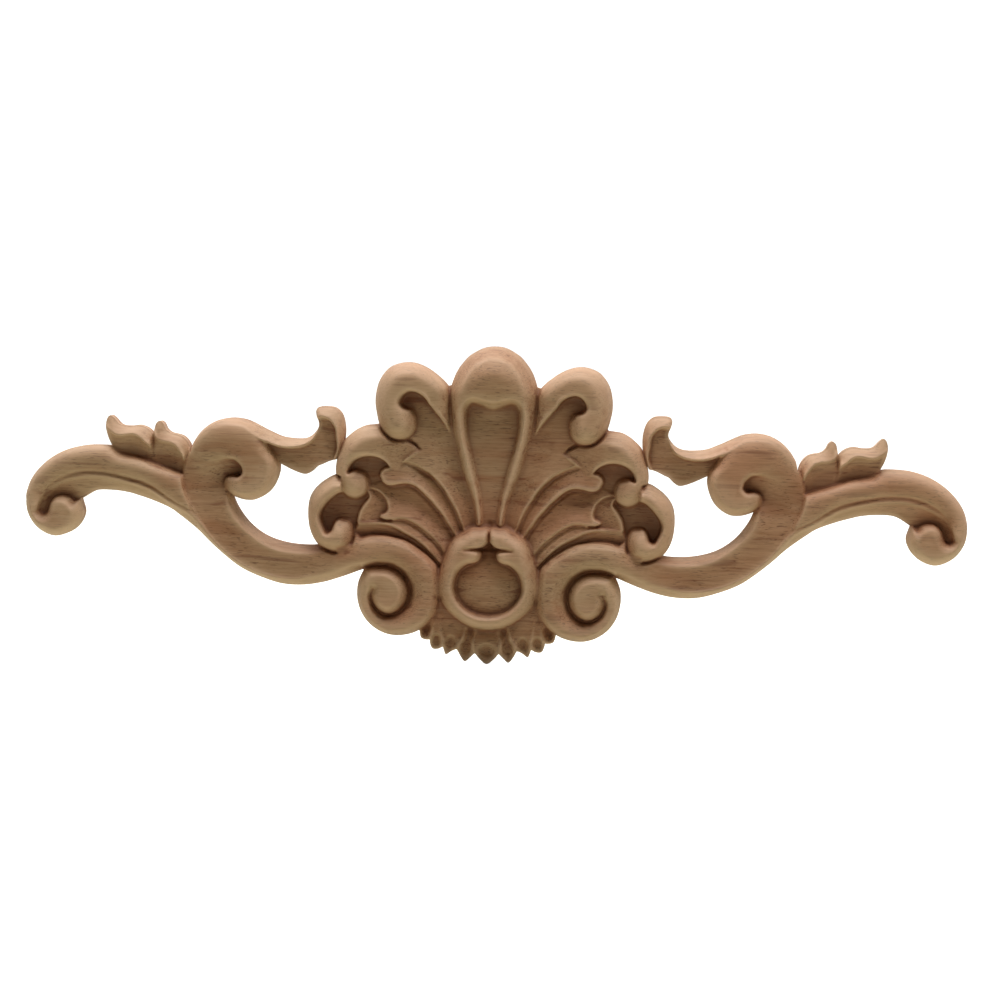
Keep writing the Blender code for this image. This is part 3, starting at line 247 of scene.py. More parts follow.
class Relief:
    """Heights over a square grid, and how far inside the outline each place is."""

    def __init__(self):
        self.middle = round(GRID_START / CELL)
        self.xs = np.arange(-self.middle * CELL, GRID_END, CELL)
        self.zs = np.arange(GRID_LOW, GRID_HIGH, CELL)
        self.x, self.z = np.meshgrid(self.xs, self.zs, indexing="ij")
        self.height = np.full(self.x.shape, FLOOR)
        self.depth_in = np.full(self.x.shape, OFF_GRID)

    def window(self, outline, margin):
        low, high = outline.min(axis=0) - margin, outline.max(axis=0) + margin
        i = np.searchsorted(self.xs, (low[0], high[0]))
        j = np.searchsorted(self.zs, (low[1], high[1]))
        return slice(*i), slice(*j)

    def body(self, outline):
        """Adds an outline to the silhouette."""
        w = self.window(outline, 4.0)
        x, z = self.x[w], self.z[w]
        d = from_outline(outline, x, z)
        d = np.where(inside(outline, x, z), d, -d)
        self.depth_in[w] = np.maximum(self.depth_in[w], d)

    def carve(self, outline, shape, keep=None, cover=None):
        """Sets the heights inside an outline. keep is np.maximum or np.minimum to keep the higher or lower,
        and cover says how far the new surface covers the old one at each place."""
        w = self.window(outline, WALL)
        x, z = self.x[w], self.z[w]
        new = shape(x, z)
        if keep is not None:
            new = keep(new, self.height[w])
        # Outside the outline the new surface fades out, so that each step is a steep wall without stairs.
        gap = np.where(inside(outline, x, z), 0, from_outline(outline, x, z))
        share = np.clip(1 - gap / WALL, 0, 1)
        if cover is not None:
            share = share * cover(x, z)
        self.height[w] += (new - self.height[w]) * share

    def calm(self, outline, radius, margin):
        """Evens out the surface inside an outline, from the margin inwards."""
        w = self.window(outline, 0)
        x, z = self.x[w], self.z[w]
        depth = from_outline(outline, x, z) * inside(outline, x, z)
        mask = (depth > 0).astype(float)
        total = blurred(self.height[w] * mask, radius / CELL)
        new = total / np.maximum(blurred(mask, radius / CELL), 1e-6)
        self.height[w] += (new - self.height[w]) * ease(depth / margin)

    def ridge(self, line, lift, width):
        """Raises a rounded ridge along a line, or cuts a groove where the lift is below 0. It may vary."""
        w = self.window(line[:, :2], 3 * width)
        d, _, share = near(line, self.x[w], self.z[w])
        self.height[w] += spread(lift, share) * np.exp(-(d / width) ** 2)

    def mirror(self):
        """Copies the right half to the strip of the left half that the grid covers."""
        for field in (self.depth_in, self.height):
            field[:self.middle] = field[2 * self.middle:self.middle:-1]


def carve_wing(r):
    # Outer arm: two rolls side by side that end in a ball.
    arm_low = rail(ARM_UNDER, EDGE)
    arm_top = rail([(149.3, 10.3), (160, 13.7), (170, 17.2), (180, 19.4), (184.7, 22.9), (190, 23.4),
        (200, 22.6), (210, 19.1), (218.7, 12.6), (224.3, 4.7)] + ARM_END, [9.5, 9, 8.5] + [EDGE] * 7)
    ball_low = rail(ARM_END + [(211.3, -21.3), (202.2, -17.4), (198.1, -10), (199.7, -3.1)], EDGE)
    ball_top = rail([(199.7, -3.1)] + BALL_OVER, [EDGE, 7, 8, 8, 7.5, 7, 6, 8, 9.5])
    crease = rail(ARM_CREASE + [(220.6, -9.8)], [11.8, 11.4, 10.8, 10.4, 10.2, 10, 9.4, 8.8, 8.5])
    cove_low = rail(ARM_UNDER + BALL_OVER, [EDGE] * 8 + [5.5, 4.5, 4, 3.5, 3.5, 4.5])
    r.body(around(arm_top[:-1], [(214, -16)], [(205, -8)], arm_low[::-1], [(130, -10), (130, 8)]))
    r.body(around(ball_low, [(203, 0), (212, 4), (222, 2)]))
    r.carve(np.array([(132, -20), (150, -8), (156, -4), (152, 6), (140, 4)]), flat(10.8))
    upper = band(arm_top, crease, [2.2, 3, 3.6, 3.9, 3.9, 3.9, 3.8, 3.2], 1.0, 0.0, 0.36)
    r.carve(around(arm_top, crease[::-1]), upper)
    cove = around(crease, cove_low[::-1])
    r.carve(cove, band(crease, cove_low, [0.5, 0.5, 0.5, 0.3, 0, -0.5, 0], 1.1))
    r.calm(cove[cove[:, 0] > 184], 1.4, 2.5)
    edges = np.concatenate([ball_low, ball_top])
    ball = roll(edges, 12.3, 4.6)
    r.carve(edges[:, :2], ball)
    swell = rail([(202.9, -9), (203.9, -6.9), (206.2, -5.1), (209.3, -4.2), (212, -5.1), (213.3, -6.9)], 0)
    r.ridge(swell, 0.35, 0.8)
    # The upper roll runs round the end and flows into the face of the ball.
    joint = around(stretch(arm_top, (224.7, 3.8), (224.0, -12.8)),
                   [(219, -16), (216, -13.5), (218.6, -11.4)], stretch(crease, (207.6, 7.3))[::-1])
    r.carve(joint, ball, cover=lambda x, z: ease((3 - z) / 14))


def carve_small_leaf(r, silhouette, crest, foot):
    """A pointed leaf: a bevel from the outline up to its crest, then a dish that falls to its foot."""
    r.body(around(silhouette, foot[::-1] + [0, -3, 0, 0]))
    r.carve(around(silhouette, foot[::-1]), band(crest, foot, [-2.5, -3, -3, -2], 0.8))
    r.calm(around(crest, foot[::-1]), 2.0, 0.8)
    r.carve(around(silhouette, crest[::-1]), band(silhouette, crest, 0.4))


def carve_leaves(r):
    silhouette = rail([(161, 14), (161.5, 24), (164.9, 30), (167.7, 32.4), (171.5, 33.6), (175.6, 33.1),
        (180.4, 33.6), (184.1, 37.1), (185.6, 38), (186.8, 36.9), (187.6, 33.4), (186.4, 27.5),
        (184.3, 23.1)], EDGE)
    crest = rail([(162.5, 14), (162.8, 19), (164.9, 23.8), (167.7, 25.8), (170, 27.9), (172.8, 29.3),
        (175.6, 29.3), (179, 28.6), (181.8, 28.8), (184.7, 30.5), (187, 32.4)],
        [10, 10.5] + [WING_CREST] * 3 + [10.5, 9])
    foot = rail([(163, 14), (170, 17.2), (175, 18.6), (180, 19.4), (184.3, 22.6)], [7, 7, 7, 7.5])
    carve_small_leaf(r, silhouette, crest, foot)
    # The inner leaf stands in front of the outer one.
    silhouette = rail([(146.2, 12), (146.2, 23.7), (150, 28.8), (156.3, 30.6), (158.3, 32.2), (159.8, 35),
        (161.4, 36), (162.9, 35), (163.9, 31.5), (164.4, 25), (164.2, 20), (163, 15)], EDGE)
    crest = rail([(147.4, 10), (148.4, 18.3), (150.4, 21.7), (152.9, 24.8), (156.3, 26.1), (159.7, 26.5),
        (162.6, 28.2), (163.9, 30.5)], [WING_CREST] * 3 + [10.5, 9])
    foot = rail([(148.5, 10), (155, 12), (160, 13.7), (163, 15)], 7.5)
    carve_small_leaf(r, silhouette, crest, foot)


def carve_flag(r):
    # Flag-shaped leaf that reaches from the C-shaped scroll to the shell.
    far = rail([(75, 20.1), (72.2, 27), (71.5, 31.5), (71.7, 37), (73.3, 42), (76.3, 44.8), (80, 45.4),
        (84.3, 44.9), (85.4, 43.1), (84.9, 40.4)], [9, 8.5, 7.5] + [EDGE] * 7 + [7.5])
    far_crest = rail([(76, 19.9), (74.3, 25), (74.9, 31), (75.6, 35.5), (77.5, 38.3), (79.7, 39.9),
        (82.3, 40.4), (84.9, 40.4)], [10, WING_CREST, WING_CREST, WING_CREST, 11, 10])
    top = rail(FLAG_TOP, EDGE)
    top_crest = rail(FLAG_CREST, [8, 9, WING_CREST, WING_CREST, 12, 12.5, 13, 13])
    low = rail([(76, 19.9), (78.8, 19), (82.8, 17.1), (84.5, 16.4), (87, 14), (89.4, 12.6), (92, 12.9),
        (96.5, 14.6), (102.7, 17.6), (106, 19)], [7.5, 8, 8, 7, 7, 8, 8, 8])
    r.body(around(far, top[1:], [(120, 25), (110, 15)], low[::-1]))
    dish = around(far_crest, top_crest[1:], low[::-1])
    r.carve(dish, lowest(band(top_crest, low, -2.2, 0.9), band(far_crest, low, -2.2, 0.9)))
    r.calm(dish, 2.2, 1.0)
    r.carve(around(far, far_crest[::-1]), band(far, far_crest, 0.5))


def carve_flag_top(r):
    # Bright upper bevel of the flag, which fades out on the scroll.
    silhouette = rail(FLAG_TOP + [(119.3, 37.7), (124, 38.4)], EDGE)
    crest = rail(FLAG_CREST + [(120, 33.6), (124.5, 35.2)],
        [8, 9, WING_CREST, WING_CREST, 12, 12.5, 13, 13, 13.5])
    r.carve(around(silhouette, crest[::-1]), band(silhouette, crest, 0.5),
            cover=lambda x, z: 1 - ease((x - 109) / 12))


def carve_scroll(r):
    # C-shaped scroll with its deep eye, and the arm that runs from it to the lower volute.
    disc = rail([(118, 32.5), (112.5, 30.2), (109.4, 27.8), (106.8, 23.5), (104, 20), (102.8, 16),
        (103.8, 10.1), (107.3, 3.8), (113.6, -0.4), (118.1, -0.8), (122, 0), (125.6, 1.6), (128, 4.2),
        (128.9, 6.8), (128.2, 9.5)], [13, 12, 10.5, 9, 8] + [EDGE] * 6 + [7, 9, 10, 11])
    face_in = rail([(119.9, 12.8), (121.3, 11.2), (125.7, 10.9), (128.2, 9.9), (129.2, 6.8), (128.5, 3.5),
        (127.4, 0), (126.3, -3.8), (124.4, -8.3), (118.7, -14.6), (110.5, -20.9), (105.4, -23.5),
        (100, -25), (92, -25.7), (85, -25.4), (77, -23.5), (68, -19.5), (62, -17.5)],
        [3.5, 3.5, 3.5, 5, 6.5, 8.5, 10.5, 11.5] + [12] * 7 + [12.5] * 3)
    face_out = rail([(111, 34), (114.9, 35.9), (119.3, 37.7), (125, 38.5), (130, 38), (134.5, 36.4),
        (138.3, 33.9), (141.5, 30.7), (145.3, 24.5), (147.2, 20.2), (148.5, 15.8), (148.8, 8), (147.8, 3.1),
        (145.8, -2)] + LIMB_CREST,
        [EDGE] * 9 + [7, 8, 9.5, 10.5, 11.2] + [11.5] * 6 + [12, 12.5, 13.5, 14.5, 15])
    inner = rail([(125.6, 1.6), (124.5, -1.5), (122.2, -5.7), (116.8, -12.4), (109.2, -17.8), (100, -20.9),
        (90, -21.9), (82.6, -21.3), (75, -18), (66, -14)], EDGE)
    low = rail(ARM_UNDER[3::-1] + [(145, -13.2), (140.9, -16.5), (135.8, -21.3), (130, -26.3), (120, -33.6),
        (109.8, -38), (100, -40.7), (90, -41), (80, -39.3), (70, -36), (60.3, -32.2), (54, -30.2)],
        [EDGE] * 15 + [7.5])
    low_crest = rail([(172, 6.9), (165, 4.7), (159, 1.7), (153.5, -2.4), (144.7, -7)] + LIMB_CREST,
        [10.5, 10.8, 11.1, 11.4, 11.7, 11.6] + [11.5] * 5 + [12, 12.5, 13.5, 14.5, 15])
    r.body(around(disc, [(130, 8), (130, 20), (124, 30)]))
    r.body(np.array([(125.2, 2), (126.2, 1.2), (127.2, -1.5), (133, 0), (134, 12), (126, 12), (122, 7)]))
    r.body(around(inner, [(60, -25)], low[::-1], [(150, 0)], stretch(face_out, end=(144.9, 25.2))[::-1],
        [(116, 20), (130, 8)]))
    # From the scroll's tube the face flattens into the arm and then swells into the volute.
    swell = [8.5] * 4 + [7.5, 5, 2] + [0] * 13
    sag = [0] * 6 + [-0.6, -1.4] + [-1.6] * 6 + [-1.5, -1, 0, 1.5, 3, 3]
    limb = around(face_out, face_in[::-1])
    funnel = band(face_in, face_out, sag, 1.0, swell, 0.66)
    r.carve(limb, funnel)
    r.calm(limb, 2.6, 3.2)
    r.calm(limb, 1.6, 1.2)
    eye_edge = rail([(128.2, 9.5), (125.7, 10.4), (121.6, 10.4), (119.9, 12.5), (120.5, 15.6),
        (122.8, 18.3), (124.4, 19.2)], [10.5, 11.5, 12, 12, 11.5, 12, 13])
    top = rail([(124.4, 19.2), (131, 20.5), (139, 25), (139, 32), (130, 38), (119.3, 37.7), (113, 35),
        (111, 34), (112.5, 30.2)], EDGE)
    face = lowest(roll(disc, SCROLL_TOP - 0.5, [9, 8, 5, 4.5, 4.5, 4.5, 4.5, 4, 3]),
                  roll(eye_edge, SCROLL_TOP - 0.5, 2.2), roll(face_out, SCROLL_TOP, 9.0))
    # Over the eye the face of the disc runs out into the limb.
    r.carve(around(disc, eye_edge, top), face, cover=lambda x, z: 1 - ease((x - 120) / 17))
    r.calm(around([(113, 31.5), (115.5, 34), (120, 36.4), (128, 36.9), (135, 34.6), (140, 30.5),
        (143.5, 24.3), (141, 19.5), (133, 17), (127, 18), (121, 20.5), (116, 24)]), 2.0, 2.5)
    crest = stretch(face_in, (128.0, 2.5))
    r.carve(around(inner, crest[::-1]), band(inner, crest, 0.5))
    r.carve(around(low_crest, low[::-1]),
            band(low_crest, low, [0.5, 0.5, 0.4, 0.3, 0.3, 0.3, 0.4, 0.8, 1], 1.1))


def carve_groove(r):
    """A groove along the arms, with the thin crest of the lower strip beside it."""
    line = rail(LIMB_CREST[4::-1] + ARM_CREASE, 0)
    r.ridge(shifted(line, -0.2), [0, -0.2, -0.2, -0.3, -0.4, -0.5, -0.5, -0.5, -0.3, 0], 0.7)
    r.ridge(shifted(line, 1.5), [0, 0.5, 0.5, 0.6, 0.8, 1, 1, 1, 0.7, 0], 1.1)


def carve_volute(r):
    # Lower volute: a rolled band that winds round a boss.
    top = rail([(62, -17.5), (58, -16.3), (53.7, -15.8), (49.6, -15.8), (45.5, -16.5), (41.3, -17.5),
        (37.2, -19.2), (33.1, -21.6), (30, -23.5), (27, -26), (24.5, -28.7), (23.6, -33), (23.7, -40),
        (24.3, -48), (26.3, -54), (29, -58), (32.5, -60.6), (37, -62.7), (43, -63.8), (48, -63.4),
        (53, -61.5), (58, -57.7), (61.5, -52.5), (63.1, -47.5), (63.5, -43), (63, -38.5), (61.7, -35),
        (60.3, -32.2)], [12] * 6 + [11, 10, 9.5, 9, 8.5, 10.5, 12.8, 13, 11, 8.5, 7] + [EDGE] * 11)
    groove = rail([(60.6, -31.6), (56.5, -30.3), (52.5, -29.9), (47.5, -30.4), (43.5, -32.2), (40.5, -35),
        (38.5, -38.5), (37.8, -42), (38.3, -46), (40, -49.5), (42.5, -52), (46, -53.8), (49.5, -53.8),
        (52.5, -52.4), (54.8, -50), (56.1, -47), (56.3, -44), (55.2, -41.3)],
        [7.5, 7.5] + [7] * 6 + [7.5, 9, 13])
    mouth = rail([(55.2, -41.3), (58, -41), (60.2, -38), (60.6, -35), (60.3, -32.2)], 14)
    r.body(around(top, [(70, -30)]))
    rim = roll(top, VOLUTE_TOP, 6.0)
    r.carve(around(top, groove[::-1]), lowest(rim, roll(groove, VOLUTE_TOP, [4, 7] + [8.5] * 5 + [7, 5, 4])))
    r.carve(around(groove, mouth), lowest(rim, roll(groove, VOLUTE_TOP + 0.5, 6.5)), np.maximum)
    r.calm(around([(64, -19), (58, -17.6), (48, -17), (38, -20.5), (30, -25.5), (26, -31), (25, -40),
        (26, -50), (30, -57), (38, -61), (47, -62), (54, -58.8), (59.5, -53), (61.6, -46), (61.6, -40),
        (59.6, -36), (57.5, -39), (57, -45), (55, -51.5), (50, -55), (44, -54.5), (38, -50), (36, -44),
        (36.5, -38), (40, -32.5), (46, -29), (54, -28.4), (66, -31.5), (74, -34.5), (74, -21)]), 1.8, 1.6)


def carve_petal(r):
    # Middle petal: a dome above a heart-topped hollow between two ribs.
    side = rail([(-8, 75), (0, 76.4), (5, 75.7), (9.9, 73.2), (12.4, 71.4), (15.3, 68.1), (17.8, 64.4),
        (19.4, 60.6), (20.4, 57.3), (20.9, 54), (20.7, 50), (20.2, 45), (19.4, 38.7), (18.2, 32.5),
        (15.3, 21.6), (13.6, 15.2), (11.2, 9), (9.5, 4.4), (8.3, 0), (7.4, -5.1), (7, -12)],
        [EDGE] * 7 + [6.8, 7.2] + [8.5] * 12)
    heart = rail([(-4, 50.2), (-2, 49.5), (0, 49.2), (2.5, 49.6), (5, 50.3), (8, 51), (10.6, 50.8),
        (12.8, 49.2), (14.2, 45.8), (14.4, 41), (13.8, 35), (12.2, 28), (10, 20.5), (7.9, 13.1), (6, 6.1),
        (5, 0), (4.3, -6), (4, -12)], 15)
    region = around(side, [(-4, -14), (-12, 60)])

    def dome(x, z):
        d, h, _ = near(side, x, z)
        top = curve(z, [(-14, 12.6), (-5, 12.8), (10, 13.4), (25, 14.4), (38, 15.2), (48, 15.6), (53, 16.6),
                        (58, 18.2), (63, 19.6), (68, PETAL_TOP), (78, PETAL_TOP)])
        reach = curve(z, [(-14, 2.6), (5, 2.9), (20, 3.6), (38, 5), (48, 6.4), (56, 9.5), (64, 14),
                          (78, 17)])
        t = np.clip(d / reach, 0, 1)
        soft = np.sin(0.5 * math.pi * t)
        return h + (top - h) * (soft + (quarter(t) - soft) * 0.45 * ease((z - 38) / 12))

    def bowl(x, z):
        d = near(heart, x, z)[0]
        lobe = ease(np.abs(x) / 9)
        floor = curve(z - 4.5 * lobe, [(-20, 9.2), (-5, 9.2), (10, 9.2), (25, 9), (35, 8.4), (41, 7.9),
                                       (44.5, 8.6), (48, 11), (51, 13.4), (54, 15.2), (58, 16)])
        reach = curve(z, [(-20, 1.5), (0, 1.6), (20, 1.9), (35, 2.3), (44, 2.9), (49, 3.4), (56, 3.6)])
        t = np.clip(d / reach, 0, 1)
        return floor + (dome(x, z) - HEART_STEP - floor) * (1 - ease(t)) * (1 - 0.25 * (1 - lobe))

    r.body(region)
    r.carve(region, dome)
    r.calm(around([(-3, 72), (3, 72), (9, 69), (13, 64), (15.5, 58), (16, 50), (15, 52), (10, 52.5),
        (5, 52), (-3, 51)]), 2.5, 3.0)
    field = around(heart, [(-6, -14), (-6, 50)])
    r.carve(field, bowl, np.minimum)
    r.calm(around([(-2.4, 46.5), (5, 47.5), (10, 48.5), (12.2, 46), (12.6, 41), (11.6, 33), (8.4, 22),
        (5, 10), (2.4, 0), (1, -12), (-2.4, -12)]), 2.0, 1.5)


def carve_curl(r):
    # Upper curl: a stem beside the petal that curls over into a ball.
    outer = rail([(20.3, 35.4), (20.9, 46), (21.3, 55.1), (24.8, 59.6), (28.1, 62.3), (31.4, 64.6),
        (35.1, 66.4), (38.9, 67.5), (42.6, 67.7), (46.3, 66.9), (50, 65.2), (52.7, 62.5), (54.8, 59.2),
        (56, 55.7), (56.7, 51.5), (56.7, 47.4), (56, 43.3), (54.4, 37.5), (52.3, 33.8), (48.8, 30.9),
        (45.1, 30.1), (41.3, 30.7), (38.4, 32.7), (36.8, 35.4), (36.2, 38.7), (36.6, 42), (38, 44.3)],
        [8.5, 8] + [EDGE] * 6 + [7, 9, 9, 8, 8])
    inner = rail([(38, 44.3), (41.3, 45.1), (43.6, 46.2), (44.8, 48.4), (44.1, 51), (42.2, 53.2),
        (39.7, 54.2), (37.2, 54), (34.7, 53), (32.2, 51.1), (30.2, 48.4), (27.7, 45.3), (24.8, 42),
        (22.3, 38.7), (20.3, 35.4)], [12, 13.5, 14.5, 15, 15, 15, 15, 14.5, 13.5, 12, 9])
    region = around(outer, inner)
    r.body(region)
    over = roll(outer, [13, 14, 15.5] + [LOBE_TOP] * 3 + [17.5] * 3, [5, 5, 6, 8, 8, 8, 8])
    under = roll(inner, [17.5, 17.5, LOBE_TOP, LOBE_TOP, 16.5, 16, 15, 13], [4, 3, 2.5, 2.5, 2.5, 2.5])
    r.carve(region, lowest(over, under))
    r.calm(region, 1.6, 2.4)


def carve_mid_lobe(r):
    # Middle lobe: a rolled rim from the first flute over to a ball, round a hollow.
    outer = rail([(36, 27.6), (40.3, 30.2), (46, 34), (54.6, 37.5), (58.3, 37.3), (61.5, 36.8), (65, 35.1),
        (67.9, 32.9), (71.2, 29.5), (73.2, 24.5), (74.7, 19), (75, 15), (74.4, 11), (73, 7), (71, 4.2),
        (68.5, 2.5), (65, 1.8), (61.8, 2.9), (59.7, 5), (59, 8), (59.5, 11), (61, 13.8), (63.7, 15.1)],
        [9, 8, EDGE, EDGE, EDGE, EDGE, 7.5, 8.5, 8.5, 8, 8, 8, 8, 8])
    hollow = rail([(63.7, 15.1), (66.3, 14.7)] + LOBE_HOLLOW, [10, 12.5, 12.5, 12.5, 13, 13, 13, 13, 12.5])
    root = rail([(53.3, 12.9), (51.5, 14), (49, 14.7), (46, 15.6), (43.2, 17.8), (42.2, 21), (39.7, 23.4),
        (37.2, 25.1), (34.8, 26.2)], [11.5, 11, 11, 11, 10, 9.8, 9.6, 9.6, 9.6])
    r.body(around(outer, hollow, [(44, 17), (41.8, 21), (38, 24.5)]))
    region = around(outer, hollow, [(50.9, 16.8), (52.8, 15.2)], root)
    r.carve(region, lowest(roll(outer, LOBE_TOP, 8.5), roll(hollow, LOBE_TOP, [3, 4, 6, 7, 7, 6]),
                           rise(root, LOBE_TOP, 20.0)))
    r.calm(region, 1.8, 2.2)
    # The claw at its root stands out between a bright edge and a dark crease.
    r.ridge(rail([(42.4, 20.4), (39.4, 22.9), (36.9, 24.5), (34.4, 25.7)], 0), [1.2, 1.4, 1.2, 0.4], 0.7)
    r.ridge(rail([(34.8, 26.6), (37, 28.4), (40.5, 30.9), (46, 34.9)], 0), [-1.4, -1.6, -1.4, -0.8], 0.9)


def carve_low_lobe(r):
    # Lower lobe: a crescent rim that ends in a ball.
    outer = rail([(72.5, 12), (75, 12.9), (80, 10.3), (83, 7.9), (85.6, 4.9), (87.3, 1.5), (88.1, -3.5),
        (87.9, -9.2), (87.1, -13.5), (85.4, -17.6), (82.6, -21.2), (80.2, -22.7), (77.3, -24),
        (73.8, -24.7), (70.4, -24.1), (67.3, -22), (65.6, -18.6), (65.5, -14.5), (66.5, -11), (68.3, -9),
        (71.1, -8.4)], [8] + [EDGE] * 6 + [8, 9, 9, 8, 8, 8])
    hollow = rail([(71.1, -8.4), (73.8, -9.4), (75.2, -12), (76.3, -14.4), (78.6, -15.4), (80.2, -13.2),
        (81.8, -9.7), (82.2, -6.5), (81.3, -3.9), (79.1, -0.7), (76.5, 2), (73.8, 4.1), (71.5, 5)],
        [10, 12, 12.5, 12.5, 12.5, 12.5, 12.5, 12])
    region = around(outer, hollow)
    r.body(region)
    r.carve(region, lowest(roll(outer, LOBE_TOP, 8.0), roll(hollow, LOBE_TOP, [3, 4, 5, 5, 5, 5])))
    r.calm(region, 1.6, 2.2)


def carve_shell(r):
    # Ground of the shell, then its flutes from the petal outwards, each a step below the one before.
    r.body(around([(0, 60), (18, 58), (26, 56), (40, 62), (52, 40), (66, 30), (70, 14), (80, 6), (84, -6),
        (80, -18), (60, -26), (58, -50), (40, -60), (31, -61), (10, -62), (0, -70), (-6, -70), (-6, 60)]))
    crest0 = rail([(12.6, -13.5), (13.6, -9.6), (14.9, -6.3), (16.5, -2.6), (18.6, 1.1), (20.7, 4.4),
        (22.7, 7.7), (25.2, 10.6), (27.7, 13.1), (30.2, 15.2), (33.1, 16.8), (36, 18.5), (38.9, 19.7),
        (42.2, 21)], [12.5, 13, 13.5, 13.5, 14])
    crest1 = rail([(16, -16), (18.6, -11.3), (20.7, -8.4), (23.1, -4.7), (25.6, -1.8), (28.5, 1.5), (31, 4),
        (33.9, 6.6), (36.8, 8.6), (40.1, 9.5), (43.8, 9.2), (47.5, 8.4), (50.2, 8.7), (52.4, 10.3),
        (53.4, 12.8), (52.8, 15.2), (50.9, 16.8), (48.5, 17.2)], [12.5, 13, 13.5, 14, 14, 13.5, 13])
    foot1 = rail([(12.8, -13.5), (14.9, -7), (18.9, 0.8), (22.9, 7.4), (27.7, 12.8), (33.1, 16.4),
        (38.9, 19.3), (42.4, 19.4), (45.5, 16.4), (48.5, 14.9), (51.5, 13.5)], [8.5, 9, 9, 9, 9.5, 11, 12])
    crest2 = rail([(20.8, -25), (23.6, -20), (26.5, -16.7), (29.8, -13.8), (33.1, -11.3), (36.4, -9.2),
        (39.7, -7.7), (43, -7.3), (46.5, -7.9), (50, -8.2), (53.6, -6.3), (52.3, -5.2), (50.4, -4.2),
        (49.6, -2.6), (50, 0), (51.2, 2.8), (53.7, 5.2), (56.6, 6.3), (59.3, 6.5)],
        [12.5, 13, 13, 13, 13.5, 13, 12.5, 12])
    foot2 = rail([(16.5, -16), (21, -8.2), (25.9, -1.8), (31.2, 3.8), (36.9, 8.2), (43.8, 8.8), (49, 8.2),
        (54, 11), (58.8, 8)], [8.5, 8.5, 8, 8, 7.5, 7, 7])
    crest3 = rail([(23.3, -28), (26.5, -24.1), (29.8, -20.8), (33.1, -17.9), (37.2, -15.4), (41.3, -13.2),
        (45.5, -11), (50, -9.7), (54, -9), (58, -8.9), (63.7, -9.2)], [12, 12.5, 12.5, 12.5, 12])
    foot3 = rail([(20.8, -25), (26.7, -17), (33.2, -11.7), (39.9, -8.2), (46.5, -8.4), (51.5, -8.5),
        (55, -8.9)], [9, 9.5, 9.5, 10, 11.5])
    foot4 = rail([(23.5, -30), (27, -26), (33.1, -21.6), (41.3, -17.5), (49.6, -15.8), (58, -16.3),
        (66, -18)], 7.0)
    leaflet = rail([(59.3, 6.3), (58.2, 2.5), (60.7, -1), (62.9, -5), (63.8, -9.4)],
        [10.5, 11, 11.5, 11.5, 11])
    tip = rail([(42.2, 21), (39.7, 23.4), (37.2, 25.1), (34.6, 26.4)], [14, 13.8, 13.5, 12.5])
    beside = rail([(20, 52), (20.2, 45), (19.4, 38.7), (18.2, 32.5), (15.3, 21.6), (11.2, 9), (8.3, 0),
        (7, -12)], 8.2)
    flute = band(beside, np.concatenate([crest0, tip]), -0.8, 1.3)
    r.carve(around([(0, 55), (20, 55), (48, 56), (48, 34), (36, 29)], tip[::-1], crest0[::-1], [(0, -14)]),
            lambda x, z: np.minimum(flute(x, z), 6.8 + 0.14 * np.hypot(x - 42, z - 50)))
    r.calm(around([(20.8, 52), (30, 52), (44, 50), (44, 38), (37, 28.6), (35, 27)], tip[::-1], crest0[::-1],
        [(2, -13), (8, 2), (13, 20), (17, 38)]), 2.2, 1.8)
    flutes = ((around(crest0, [(46, 19)], crest1[:-2][::-1]), band(foot1, crest1, -1.0, 1.2)),
              (around(crest1, [(56, 16), (60, 10)], crest2[::-1]), band(foot2, crest2, -1.2, 1.2)),
              (around(stretch(crest2, end=(49.9, -3.5)), [(60, -7), (63.7, -9.2)], crest3[::-1]),
               band(foot3, crest3, 0.2)),
              (around(crest3, [(67, -14)], foot4[::-1]), band(crest3, foot4, -1.0, 1.0)))
    for region, surface in flutes:
        r.carve(region, surface)
        r.calm(region, 1.8, 1.3)
    # A narrow groove runs under each crest.
    for crest, depth in ((crest0, [-0.5, -0.9, -1.1, -1.1, -0.9]),
                         (crest1, [-0.5, -0.9, -1, -1, -0.5, 0, 0]),
                         (crest2, [-0.5, -0.9, -1, -0.6, 0, 0, 0, 0]),
                         (crest3, [-0.5, -0.8, -0.8, -0.6, -0.3, 0])):
        r.ridge(shifted(crest, 1.3), depth, 0.7)
    return crest2, leaflet


def carve_hollows(r, crest2, leaflet):
    # Hollow under the middle lobe, the small leaf below it, and the hollow of the lower lobe.
    r.carve(around(LOBE_HOLLOW[::-1], [(62, 12), (59, 8), (57.5, 9), (53.6, 10.5), (53.6, 13), (52.8, 15.4),
        (50.9, 17)]), flat(FLOOR + 0.3))
    r.carve(around([(59, 5), (58.2, 2.5)], leaflet[1:], [(66, -14), (72, -8), (76, -13), (79, -15),
        (82, -6), (76, 3), (71, 6), (62, 2)]), flat(FLOOR))
    end = stretch(crest2, (47.4, -8.0))
    r.carve(around(end, leaflet, [(57, -8.8), (53.8, -8.6)]),
            band(end + [0, 0, -5, 0], leaflet, -0.3, 1.6))


